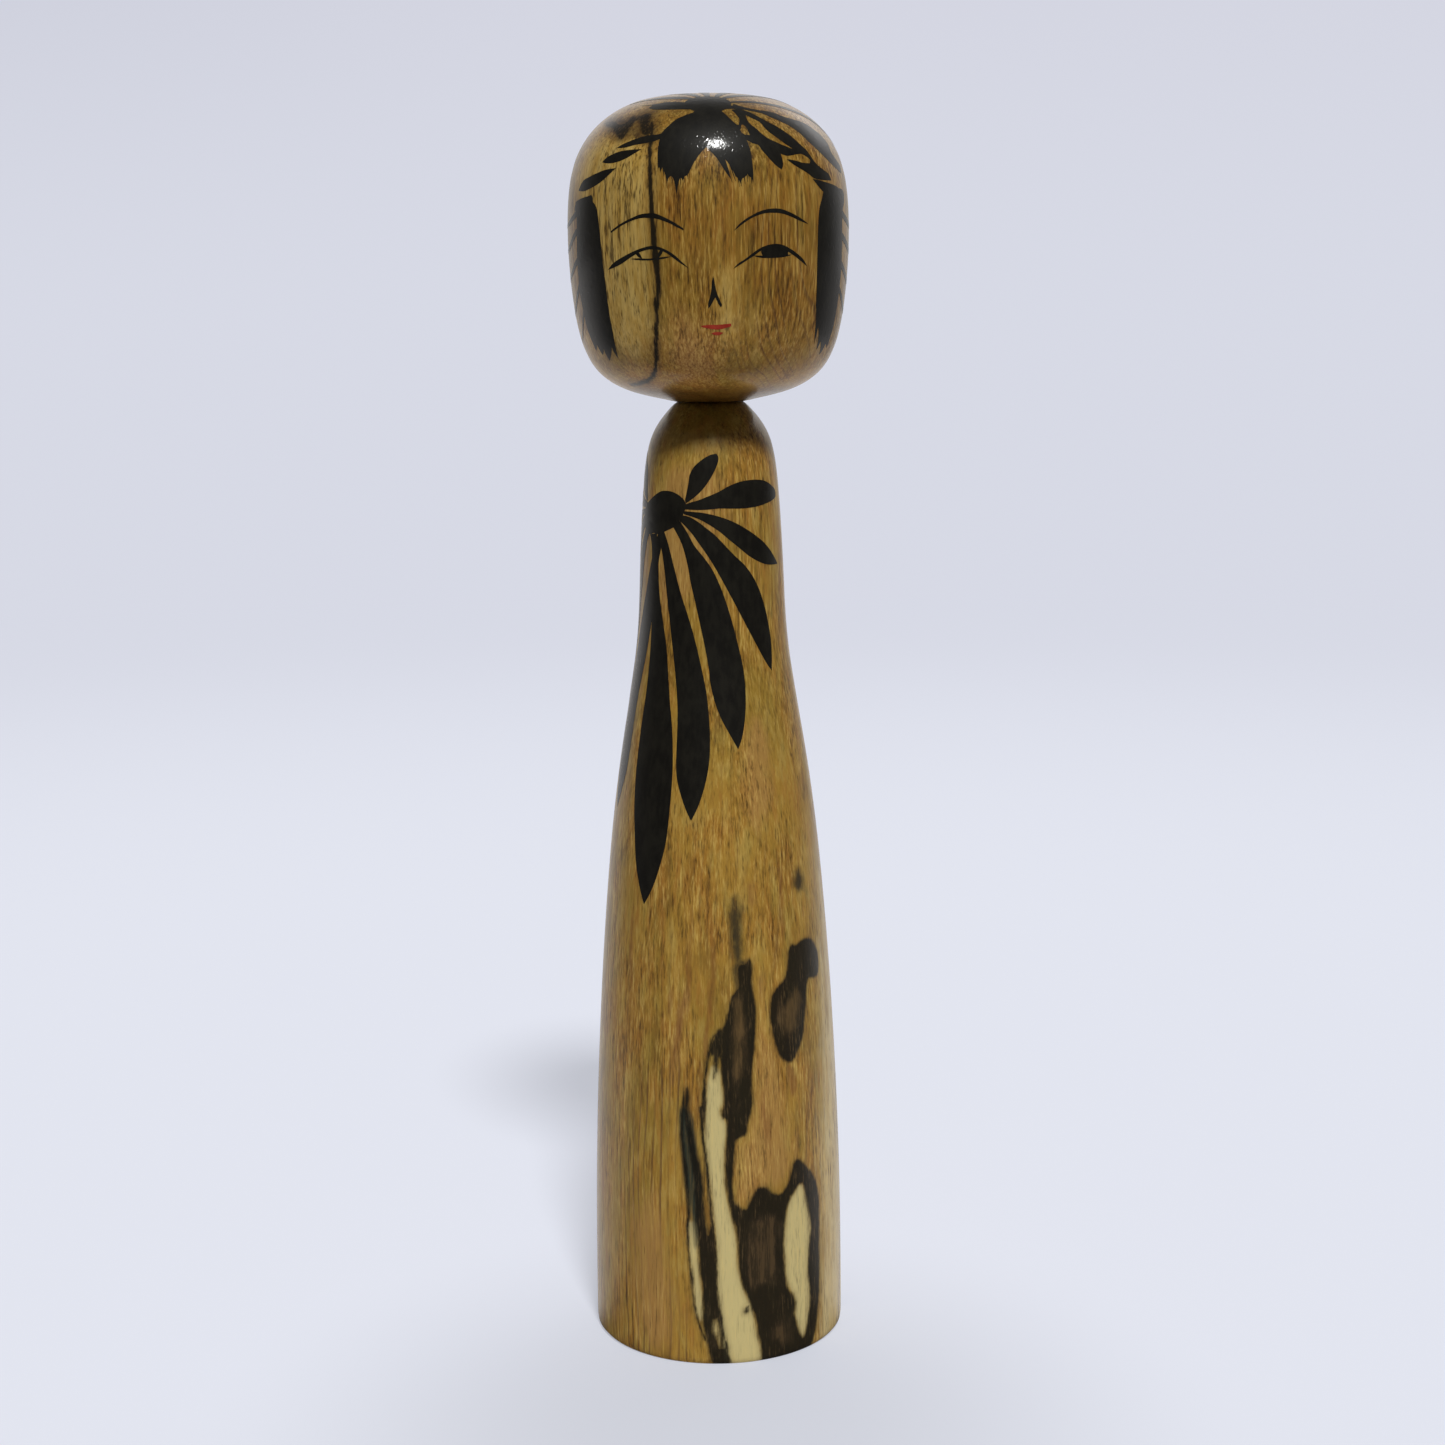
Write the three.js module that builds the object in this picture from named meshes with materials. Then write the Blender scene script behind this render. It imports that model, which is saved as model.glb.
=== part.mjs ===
// Kokeshi doll, built as it is turned on the lathe: a waisted body with a blind
// socket in its shoulder, and a round head whose neck tenon turns in that socket.
// Millimetres, +Z up, origin at the centre of the base; the face looks along -Y.
import * as THREE from 'three';

// ---- driving dimensions -----------------------------------------------------
const SEGMENTS = 64;          // facets round the turning axis

// neck joint
const TENON_R = 4.5;          // tenon under the head
const TENON_LEN = 14.0;       // tenon length below the seat
const TENON_CHAMFER = 0.8;    // lead-in at the tenon's end
const SOCKET_R = 4.6;         // socket in the shoulder, 0.1 mm clear all round
const SOCKET_DEPTH = 15.5;    // socket depth below the shoulder's rim
const SEAT_GAP = 0.3;         // gap between the shoulder's rim and the head's seat
const SHOULDER_TOP = 184.65;  // height of the shoulder's rim
const RIM_R = 6.35;           // outer radius of the flat rim round the socket
const SEAT_R = 6.5;           // outer radius of the flat seat round the tenon

// base
const BASE_R = 24.2;          // flat of the base, inside its eased edge

// body outline from the eased foot up to the rim: [radius, height]
const BODY_OUTLINE = [
  [24.55, 0.3], [24.70, 0.9], [24.76, 2.2], [24.77, 6.0], [24.74, 11.5], [24.68, 18.5],
  [24.58, 26.0], [24.42, 33.5], [24.20, 40.7], [23.92, 48.0], [23.58, 55.4], [23.19, 62.8],
  [22.75, 70.2], [22.24, 77.6], [21.67, 85.0], [21.03, 92.4], [20.31, 99.8], [19.53, 106.5],
  [18.62, 113.2], [17.66, 119.4], [16.66, 125.4], [15.72, 131.2], [14.98, 136.2], [14.46, 141.2],
  [14.14, 146.2], [13.94, 151.2], [13.72, 156.4], [13.45, 161.6], [13.14, 166.4], [12.76, 170.9],
  [12.24, 174.6], [11.52, 177.5], [10.52, 179.75], [9.30, 181.6], [8.05, 183.1], [7.05, 184.15],
];

// head outline from the seat up to the crown: [radius, height]
const HEAD_OUTLINE = [
  [8.20, 185.22], [9.93, 185.55], [11.60, 185.86], [13.17, 186.22], [14.80, 186.70], [16.33, 187.28],
  [17.85, 188.00], [19.25, 188.86], [20.53, 189.87], [21.62, 191.02], [22.58, 192.38], [23.34, 193.86],
  [24.00, 195.44], [24.50, 197.02], [25.22, 200.20], [25.72, 203.47], [26.10, 206.75], [26.37, 210.04],
  [26.54, 213.35], [26.59, 216.66], [26.53, 219.97], [26.30, 223.28], [25.82, 226.55], [24.93, 229.72],
  [24.27, 231.26], [23.46, 232.71], [22.53, 234.06], [21.47, 235.32], [20.30, 236.46], [19.02, 237.49],
  [17.66, 238.40], [16.21, 239.20], [14.70, 239.88], [13.13, 240.42], [9.90, 241.12], [6.61, 241.43],
  [3.31, 241.52],
];
const CROWN_Z = 241.55;       // top of the head

// ---- construction -----------------------------------------------------------
// A profile runs from the axis, anticlockwise, back to the axis. Lathe geometry
// turns about its own Y, so each piece is stood up onto +Z.
function turned(name, profile, colour, roughness) {
  const points = profile.map(([r, z]) => new THREE.Vector2(r, z));
  const geometry = new THREE.LatheGeometry(points, SEGMENTS);
  const material = new THREE.MeshStandardMaterial({ color: colour, roughness, metalness: 0 });
  const mesh = new THREE.Mesh(geometry, material);
  mesh.name = name;
  mesh.rotation.x = Math.PI / 2;
  return mesh;
}

// Body: flat base, eased foot, outline up to the rim, then down into the socket.
const socketFloor = SHOULDER_TOP - SOCKET_DEPTH;
const bodyProfile = [
  [0, 0], [BASE_R, 0],
  ...BODY_OUTLINE,
  [RIM_R, SHOULDER_TOP],
  [SOCKET_R, SHOULDER_TOP],
  [SOCKET_R, socketFloor],
  [0, socketFloor],
];

// Head: tenon end, tenon, flat seat, outline over the crown.
const seatZ = SHOULDER_TOP + SEAT_GAP;
const tenonEnd = seatZ - TENON_LEN;
const headProfile = [
  [0, tenonEnd], [TENON_R - TENON_CHAMFER, tenonEnd],
  [TENON_R, tenonEnd + TENON_CHAMFER],
  [TENON_R, seatZ],
  [SEAT_R, seatZ],
  ...HEAD_OUTLINE,
  [0, CROWN_Z],
];

const doll = new THREE.Group();
doll.add(turned('body', bodyProfile, 0xb98447, 0.32));
doll.add(turned('head', headProfile, 0xc58e4e, 0.28));

export default doll;
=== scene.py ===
import math

import bpy
import numpy as np
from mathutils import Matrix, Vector
from mathutils.geometry import delaunay_2d_cdt


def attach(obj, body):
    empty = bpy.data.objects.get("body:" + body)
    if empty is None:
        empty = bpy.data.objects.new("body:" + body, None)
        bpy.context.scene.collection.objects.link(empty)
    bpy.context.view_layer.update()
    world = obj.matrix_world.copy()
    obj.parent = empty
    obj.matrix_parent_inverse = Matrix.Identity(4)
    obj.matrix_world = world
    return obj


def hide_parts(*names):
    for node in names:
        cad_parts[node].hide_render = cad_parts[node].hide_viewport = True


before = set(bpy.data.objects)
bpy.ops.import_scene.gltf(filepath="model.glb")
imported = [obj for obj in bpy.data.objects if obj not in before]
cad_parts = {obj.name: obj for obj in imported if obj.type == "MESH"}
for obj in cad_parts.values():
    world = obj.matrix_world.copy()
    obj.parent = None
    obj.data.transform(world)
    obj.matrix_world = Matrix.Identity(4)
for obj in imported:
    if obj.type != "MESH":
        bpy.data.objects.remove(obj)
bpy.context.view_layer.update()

MM = 0.001

# ---------------------------------------------------------------- turned profiles
BODY_OUTLINE = [
    (24.2, 0.0), (24.55, 0.3), (24.70, 0.9), (24.76, 2.2), (24.77, 6.0), (24.74, 11.5), (24.68, 18.5),
    (24.58, 26.0), (24.42, 33.5), (24.20, 40.7), (23.92, 48.0), (23.58, 55.4), (23.19, 62.8),
    (22.75, 70.2), (22.24, 77.6), (21.67, 85.0), (21.03, 92.4), (20.31, 99.8), (19.53, 106.5),
    (18.62, 113.2), (17.66, 119.4), (16.66, 125.4), (15.72, 131.2), (14.98, 136.2), (14.46, 141.2),
    (14.14, 146.2), (13.94, 151.2), (13.72, 156.4), (13.45, 161.6), (13.14, 166.4), (12.76, 170.9),
    (12.24, 174.6), (11.52, 177.5), (10.52, 179.75), (9.30, 181.6), (8.05, 183.1), (7.05, 184.15),
    (6.35, 184.65),
]
HEAD_OUTLINE = [
    (6.35, 184.71), (7.2, 184.86), (8.30, 185.11), (9.93, 185.46), (11.60, 185.83), (13.17, 186.22), (14.80, 186.70), (16.33, 187.28),
    (17.85, 188.00), (19.25, 188.86), (20.53, 189.87), (21.62, 191.02), (22.58, 192.38), (23.34, 193.86),
    (24.00, 195.44), (24.50, 197.02), (25.22, 200.20), (25.72, 203.47), (26.10, 206.75), (26.37, 210.04),
    (26.54, 213.35), (26.59, 216.66), (26.53, 219.97), (26.30, 223.28), (25.82, 226.55), (24.93, 229.72),
    (24.27, 231.26), (23.46, 232.71), (22.53, 234.06), (21.47, 235.32), (20.30, 236.46), (19.02, 237.49),
    (17.66, 238.40), (16.21, 239.20), (14.70, 239.88), (13.13, 240.42), (9.90, 241.12), (6.61, 241.43),
    (3.31, 241.52), (0.0, 241.55),
]
TENON_R, TENON_LEN, TENON_CHAMFER = 4.5, 14.0, 0.8
SOCKET_R, SOCKET_DEPTH = 4.6, 15.5
SHOULDER_TOP, SEAT_Z = 184.65, 184.71


def smooth_run(points, step):
    """Points along a smooth curve through the given ones, about step apart."""
    P = np.asarray(points, float)
    if len(P) < 3:
        n = max(2, int(np.ceil(np.linalg.norm(P[-1] - P[0]) / step)) + 1)
        t = np.linspace(0, 1, n)[:, None]
        return P[0] * (1 - t) + P[-1] * t
    h = np.sqrt(np.maximum(np.linalg.norm(np.diff(P, axis=0), axis=1), 1e-9))
    t = np.concatenate([[0], np.cumsum(h)])
    d = np.diff(P, axis=0) / h[:, None]
    m = np.empty_like(P)
    m[1:-1] = (d[:-1] * h[1:, None] + d[1:] * h[:-1, None]) / (h[1:] + h[:-1])[:, None]
    m[0] = 1.5 * d[0] - 0.5 * m[1]
    m[-1] = 1.5 * d[-1] - 0.5 * m[-2]
    out = []
    for i in range(len(P) - 1):
        n = max(1, int(np.ceil(np.linalg.norm(P[i + 1] - P[i]) / step)))
        u = (np.arange(n) / n)[:, None]
        a, b = 2 * u**3 - 3 * u**2 + 1, u**3 - 2 * u**2 + u
        c, e = -2 * u**3 + 3 * u**2, u**3 - u**2
        out.append(a * P[i] + b * h[i] * m[i] + c * P[i + 1] + e * h[i] * m[i + 1])
    out.append(P[-1:])
    return np.vstack(out)


class Turned:
    """The outside of a turned piece: radius and outward slope by height and by length along the profile."""

    def __init__(self, outline, step):
        self.pts = smooth_run(outline, step)
        self.pts[:, 0] = np.maximum(self.pts[:, 0], 0)
        self.r, self.z = self.pts[:, 0], self.pts[:, 1]
        self.s = np.concatenate([[0], np.cumsum(np.hypot(np.diff(self.r), np.diff(self.z)))])
        tr, tz = np.gradient(self.r, self.s), np.gradient(self.z, self.s)
        L = np.hypot(tr, tz)
        self.nr, self.nz = tz / L, -tr / L
        self.length = self.s[-1]

    def s_of_z(self, z):
        return np.interp(z, self.z, self.s)

    def place(self, deg, s, off=0.0):
        """Points on the surface in metres, off millimetres proud of it."""
        a = np.radians(deg)
        r = np.interp(s, self.s, self.r) + off * np.interp(s, self.s, self.nr)
        z = np.interp(s, self.s, self.z) + off * np.interp(s, self.s, self.nz)
        return np.stack([r * np.sin(a), -r * np.cos(a), z], -1) * MM


body_form = Turned(BODY_OUTLINE, 0.25)
head_form = Turned(HEAD_OUTLINE, 0.2)


# ---------------------------------------------------------------- turned meshes
def turned_mesh(name, rings, segments, island):
    """A closed mesh from a list of (radius, height) rings that starts and ends on the axis.
    island(i) gives the map rectangle of the strip between ring i and i + 1."""
    R = np.array([p[0] for p in rings])
    Z = np.array([p[1] for p in rings])
    ang = np.arange(segments) * 2 * np.pi / segments + np.pi  # seam at the back
    verts, first = [], []
    for r, z in zip(R, Z):
        first.append(len(verts))
        if r < 1e-6:
            verts.append((0.0, 0.0, z * MM))
        else:
            verts += [(r * math.sin(a) * MM, -r * math.cos(a) * MM, z * MM) for a in ang]
    faces, uvs = [], []
    for i in range(len(R) - 1):
        a0, b0 = R[i] < 1e-6, R[i + 1] < 1e-6
        for j in range(segments):
            k = (j + 1) % segments
            if a0 and b0:
                continue
            if a0:
                f = [first[i], first[i + 1] + k, first[i + 1] + j]
                w = [(j + 0.5, 0), (j + 1, 1), (j, 1)]
            elif b0:
                f = [first[i] + j, first[i] + k, first[i + 1]]
                w = [(j, 0), (j + 1, 0), (j + 0.5, 1)]
            else:
                f = [first[i] + j, first[i] + k, first[i + 1] + k, first[i + 1] + j]
                w = [(j, 0), (j + 1, 0), (j + 1, 1), (j, 1)]
            faces.append(f)
            uvs += [island(i, p / segments, q) for p, q in w]
    me = bpy.data.meshes.new(name)
    me.from_pydata(verts, [], faces)
    layer = me.uv_layers.new(name="OFBake")
    layer.data.foreach_set("uv", np.array(uvs, np.float32).ravel())
    me.update()
    me.validate()
    ob = bpy.data.objects.new(name, me)
    bpy.context.scene.collection.objects.link(ob)
    return ob


def shade(ob, sharp_deg=40):
    me = ob.data
    me.polygons.foreach_set("use_smooth", np.ones(len(me.polygons), bool))
    me.set_sharp_from_angle(angle=math.radians(sharp_deg))


def resample(form, step):
    n = int(round(form.length / step))
    s = np.linspace(0, form.length, n + 1)
    return [(float(np.interp(q, form.s, form.r)), float(np.interp(q, form.s, form.z))) for q in s], s


# body: base disc, outline, rim, socket
side, side_s = resample(body_form, 0.72)
foot = [(0.0, 0.0)] + [(r, 0.0) for r in np.linspace(1.5, 24.2 - 0.6, 16)]
rim = [(5.9, 184.65), (5.2, 184.65), (4.85, 184.65), (SOCKET_R, SHOULDER_TOP - 0.25), (SOCKET_R, 180.0), (SOCKET_R, 175.0),
       (SOCKET_R, SHOULDER_TOP - SOCKET_DEPTH), (2.3, SHOULDER_TOP - SOCKET_DEPTH), (0.0, SHOULDER_TOP - SOCKET_DEPTH)]
body_rings = foot + side + rim
n_foot, n_side = len(foot), len(side)


def disc_uv(cx, cy, rad, u, rr):
    a = u * 2 * math.pi
    return (cx + rad * rr * math.sin(a), cy - rad * rr * math.cos(a))


def body_island(i, u, v):
    if i < n_foot:  # foot, up to the first outline ring
        r = body_rings[i][0] * (1 - v) + body_rings[min(i + 1, len(body_rings) - 1)][0] * v
        return disc_uv(0.09, 0.91, 0.085 / 24.3, u, r)
    if i < n_foot + n_side - 1:
        s = side_s[i - n_foot] * (1 - v) + side_s[i - n_foot + 1] * v
        return (0.002 + 0.996 * u, 0.003 + 0.80 * s / body_form.length)
    k = i - (n_foot + n_side - 1) + v
    return (0.2 + 0.5 * u, 0.83 + 0.16 * k / (len(rim) + 1))


SEG_BODY, SEG_HEAD = 256, 256
body = turned_mesh("body_turned", body_rings, SEG_BODY, body_island)

# head: tenon, seat, outline over the crown
cap, cap_s = resample(head_form, 0.6)
cap = [p if p[0] > 0.05 else (0.0, p[1]) for p in cap]
tend = SEAT_Z - TENON_LEN
tenon = [(0.0, tend), (2.0, tend), (TENON_R - TENON_CHAMFER, tend), (TENON_R, tend + TENON_CHAMFER), (TENON_R, tend + 5),
         (TENON_R, tend + 10), (TENON_R, SEAT_Z - 0.3), (TENON_R + 0.05, SEAT_Z), (5.4, SEAT_Z)]
head_rings = tenon + cap
n_ten, n_cap = len(tenon), len(cap)


def head_island(i, u, v):
    if i >= n_ten:
        s = cap_s[i - n_ten] * (1 - v) + cap_s[i - n_ten + 1] * v
        return (0.003 + 0.994 * u, 0.005 + 0.86 * s / head_form.length)
    return (0.1 + 0.6 * u, 0.88 + 0.115 * (i + v) / (n_ten + 1))


head = turned_mesh("head_turned", head_rings, SEG_HEAD, head_island)
for ob in (body, head):
    shade(ob, 35)


# ---------------------------------------------------------------- spalting: distances to listed shapes
def closed(points, step=0.5):
    """A smooth closed outline through (deg, mm) points, spaced in mm at 0.42 mm per degree."""
    P = np.array(points, float) * [0.42, 1]
    P = np.vstack([P[-2:], P, P[:3]])
    Q = smooth_run(P, step)
    d0 = np.linalg.norm(Q - P[2], axis=1)
    i0 = int(np.argmin(d0[: len(Q) // 2]))
    d1 = np.linalg.norm(Q - P[2], axis=1)
    d1[: len(Q) // 2] = 1e9
    i1 = int(np.argmin(d1))
    return Q[i0 : i1 + 1] / [0.42, 1]


def seg_dist(px, py, A, B):
    """Distance from many points to many segments, the nearest one's parameter too."""
    best = np.full(len(px), 1e9)
    which = np.zeros(len(px), int)
    par = np.zeros(len(px))
    for i, (a, b) in enumerate(zip(A, B)):
        ab = b - a
        L = max(ab @ ab, 1e-12)
        t = np.clip(((px - a[0]) * ab[0] + (py - a[1]) * ab[1]) / L, 0, 1)
        d = np.hypot(px - a[0] - t * ab[0], py - a[1] - t * ab[1])
        m = d < best
        best[m], which[m], par[m] = d[m], i, t[m]
    return best, which, par


def inside(px, py, P):
    c = np.zeros(len(px), bool)
    for (x0, y0), (x1, y1) in zip(P, np.roll(P, -1, axis=0)):
        if y0 == y1:
            continue
        m = (y0 > py) != (y1 > py)
        c ^= m & (px < (x1 - x0) * (py - y0) / (y1 - y0) + x0)
    return c


def near(deg, z, k, pts, reach):
    lo, hi = pts.min(0), pts.max(0)
    return (deg > lo[0] - reach / k) & (deg < hi[0] + reach / k) & (z > lo[1] - reach) & (z < hi[1] + reach)


def field(deg, z, rad, shapes, reach=6.0):
    """Signed distance in mm, positive inside, to a union of outlines and tapering lines."""
    k = np.maximum(rad, 2.0) * np.pi / 180
    out = np.full(len(deg), -reach)
    for kind, data in shapes:
        pts = closed(data) if kind == "area" else np.array(data, float)
        for turn in (-360, 0, 360):
            m = near(deg + turn, z, k, pts[:, :2], reach)
            if not m.any():
                continue
            x, y, kk = (deg[m] + turn), z[m], k[m]
            # the points near a shape measure across in their mean mm per degree
            if kind == "area":
                xs = x * kk.mean()
                P = pts * [kk.mean(), 1]
                d, _, _ = seg_dist(xs, y, P, np.roll(P, -1, axis=0))
                sd = np.where(inside(xs, y, P), d, -d)
            else:
                P = pts[:, :2] * [kk.mean(), 1]
                Q = smooth_run(np.column_stack([P, pts[:, 2]]), 0.6)
                d, w, t = seg_dist(x * kk.mean(), y, Q[:-1, :2], Q[1:, :2])
                sd = (Q[w, 2] * (1 - t) + Q[w + 1, 2] * t) - d
            out[m] = np.maximum(out[m], sd)
    return out


# Outlines of the dark rot stains, pale sapwood and tinted patches, as (degrees, height).
M1 = [(11, 78.6), (13, 79.4), (15, 79.3), (17, 80.2), (18.4, 78.5), (18, 76), (18.5, 73), (19.5, 70), (19, 66), (18, 62), (16.6, 58.5),
      (16.3, 56), (16.6, 53), (16, 51), (14.2, 48.5), (13, 46), (10.8, 45.6), (8.6, 45.2), (7.4, 42), (6.7, 38), (6.7, 35), (7.6, 33),
      (9, 30), (7.5, 28), (6.2, 30), (5, 32.5), (4.2, 34.5), (3.7, 38), (3.6, 42), (4.1, 45), (4.6, 48), (4.4, 49.4),
      (3, 49.4), (2, 50.5), (3.3, 52), (3.5, 54), (2.6, 57), (2.0, 60), (2.3, 63), (2.5, 66.3), (4.5, 68.5), (6, 71),
      (8, 73.3), (10.8, 74.6)]
M3 = [(6.5, 33), (8, 32.8), (10.5, 31.6), (12.5, 31.2), (14, 32), (16, 33.5), (17.5, 35), (20, 35.4), (23, 35.2), (25, 34), (28, 33.3), (31, 33.5),
      (34, 35), (36, 37), (37.6, 38.9), (40, 39.4), (43, 38.4), (47, 36.6), (50.5, 34.4), (52.6, 32), (53.9, 29), (54, 26),
      (53.4, 23), (53.2, 20), (53.7, 17), (53.5, 14), (52.8, 10), (51.5, 6), (50, 3), (48, 1), (46.5, -1.2), (20.2, -1.2),
      (19.4, 1.5), (18.6, 4), (17.4, 6), (17, 8), (15.5, 10.5), (14, 12.5), (12, 14.5), (10, 17), (9.2, 19), (9.1, 22),
      (8.8, 25), (8, 27.5), (6.4, 30)]
C2 = [(41, 34.4), (43, 33.6), (44.5, 31), (46, 28), (47.4, 25), (46.5, 22), (45.5, 19), (45, 16.5), (46, 13), (46.3, 10), (45.3, 7),
      (43.6, 4), (42, 2.7), (40, 3.5), (38, 6), (36.6, 8), (37, 10.5), (35.5, 12.5), (33, 14), (31.5, 17), (31.3, 20), (31, 23),
      (31.4, 26), (32.4, 29), (34.4, 31.6), (37.3, 33)]
M2 = [(62, 79.5), (63.6, 77.5), (63, 75), (61, 74.0), (56, 74.0), (52.6, 74.2), (51, 72.4), (50, 70), (48, 66.5), (46.4, 63.5), (43.6, 61.5),
      (41, 60), (38, 59.0), (34, 59.5), (31, 61), (29, 63.5), (27.3, 66.5), (26.8, 69), (28.4, 72.5), (32, 74.2), (36, 75.4), (38.5, 78),
      (40, 80.8), (41.6, 81.7), (45, 81.4), (49, 82.0), (54, 82.0), (58.5, 81.2)]
L2_BAND = [(-14, 55.6), (-12.9, 54), (-13.2, 50), (-11.4, 47), (-10.2, 44), (-8.6, 41), (-7.2, 38), (-6.4, 35), (-5.8, 31), (-5.4, 28), (-4.2, 26.3),
           (-3.4, 28.5), (-2.7, 29), (-1.2, 25), (-1.1, 18), (0.2, 12), (1.6, 8), (3, 4), (5.0, -1.2), (-1.5, -1.2), (-4, 2), (-5.6, 5),
           (-7.2, 8), (-7.1, 12), (-7.5, 16), (-8.5, 20), (-9, 24), (-9.6, 28), (-10.6, 33), (-10.9, 38), (-12.4, 42), (-14.2, 47),
           (-15.2, 50), (-15.4, 54)]
JOIN = [(2.6, 67), (0.6, 66.9), (-1.5, 65.2), (-2.9, 63.6), (-3.0, 61.8), (-1.6, 62), (-1.2, 60), (-1.2, 57.3), (0, 59), (1, 61), (2.4, 62.6)]
BULGE = [(-5.2, 53.6), (-6.4, 52.4), (-8.4, 51.6), (-7.8, 50.2), (-7.4, 48), (-6.2, 46), (-5.6, 48.5), (-5.3, 51)]
LOW_GAP = [(-1.6, 9.5), (-2.9, 8.4), (-2.6, 6.6), (-0.8, 5.0), (0.6, 3.2), (0.3, 5.5), (-0.3, 8)]
CREAM_1 = [(-1.5, 60), (1.4, 59), (2.2, 57), (3.3, 53), (1.6, 50.5), (4.4, 48.5), (3.4, 42), (3.6, 36), (6, 30.5), (8.5, 25), (9.1, 19), (12, 14.5),
           (15.5, 10.5), (17.5, 6), (19.3, 1.5), (20, -1.5), (5, -1.5), (2.5, 5), (0.5, 11), (-0.7, 17), (-1, 24), (-2.2, 29), (-3.2, 35),
           (-4.3, 41), (-5.8, 46), (-6, 50), (-5, 55)]
# round the right-hand side and the back
RIGHT_BLACK = [(97, 47), (99.5, 52), (101, 58), (103.5, 55), (105, 47), (108.5, 41), (111, 33), (109, 24), (110, 15), (107.5, 7), (108, -1.2), (98.5, -1.2),
               (100, 6), (97.8, 13), (101.5, 20), (104, 28), (102, 35), (98.5, 40)]
RIGHT_PALE = [(91, 50), (94, 60), (97, 63), (99, 57), (96.5, 49), (97, 41), (100.5, 36), (102, 28), (99, 21), (95.5, 13), (97, 5), (96, -1.5), (84, -1.5), (88, 12), (89.5, 24), (88, 36)]
BACK_BLACK = [(176, 27), (180, 30.5), (184, 31), (188, 28), (192, 29.5), (195, 25), (194, 18), (196, 11), (194, 4), (193, -1.2), (171, -1.2), (171.5, 6), (174, 12), (173, 19)]
BACK_PALE_HOLE = [(185, 23.5), (188, 21), (188.5, 15), (189, 9), (187.5, 5), (184.5, 6.5), (183, 12), (182.5, 18)]
BACK_PALE = [(165, 34), (172, 37), (176, 32), (171, 24), (171, 12), (169, -1.5), (158, -1.5), (160, 14), (158, 26)]

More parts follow.
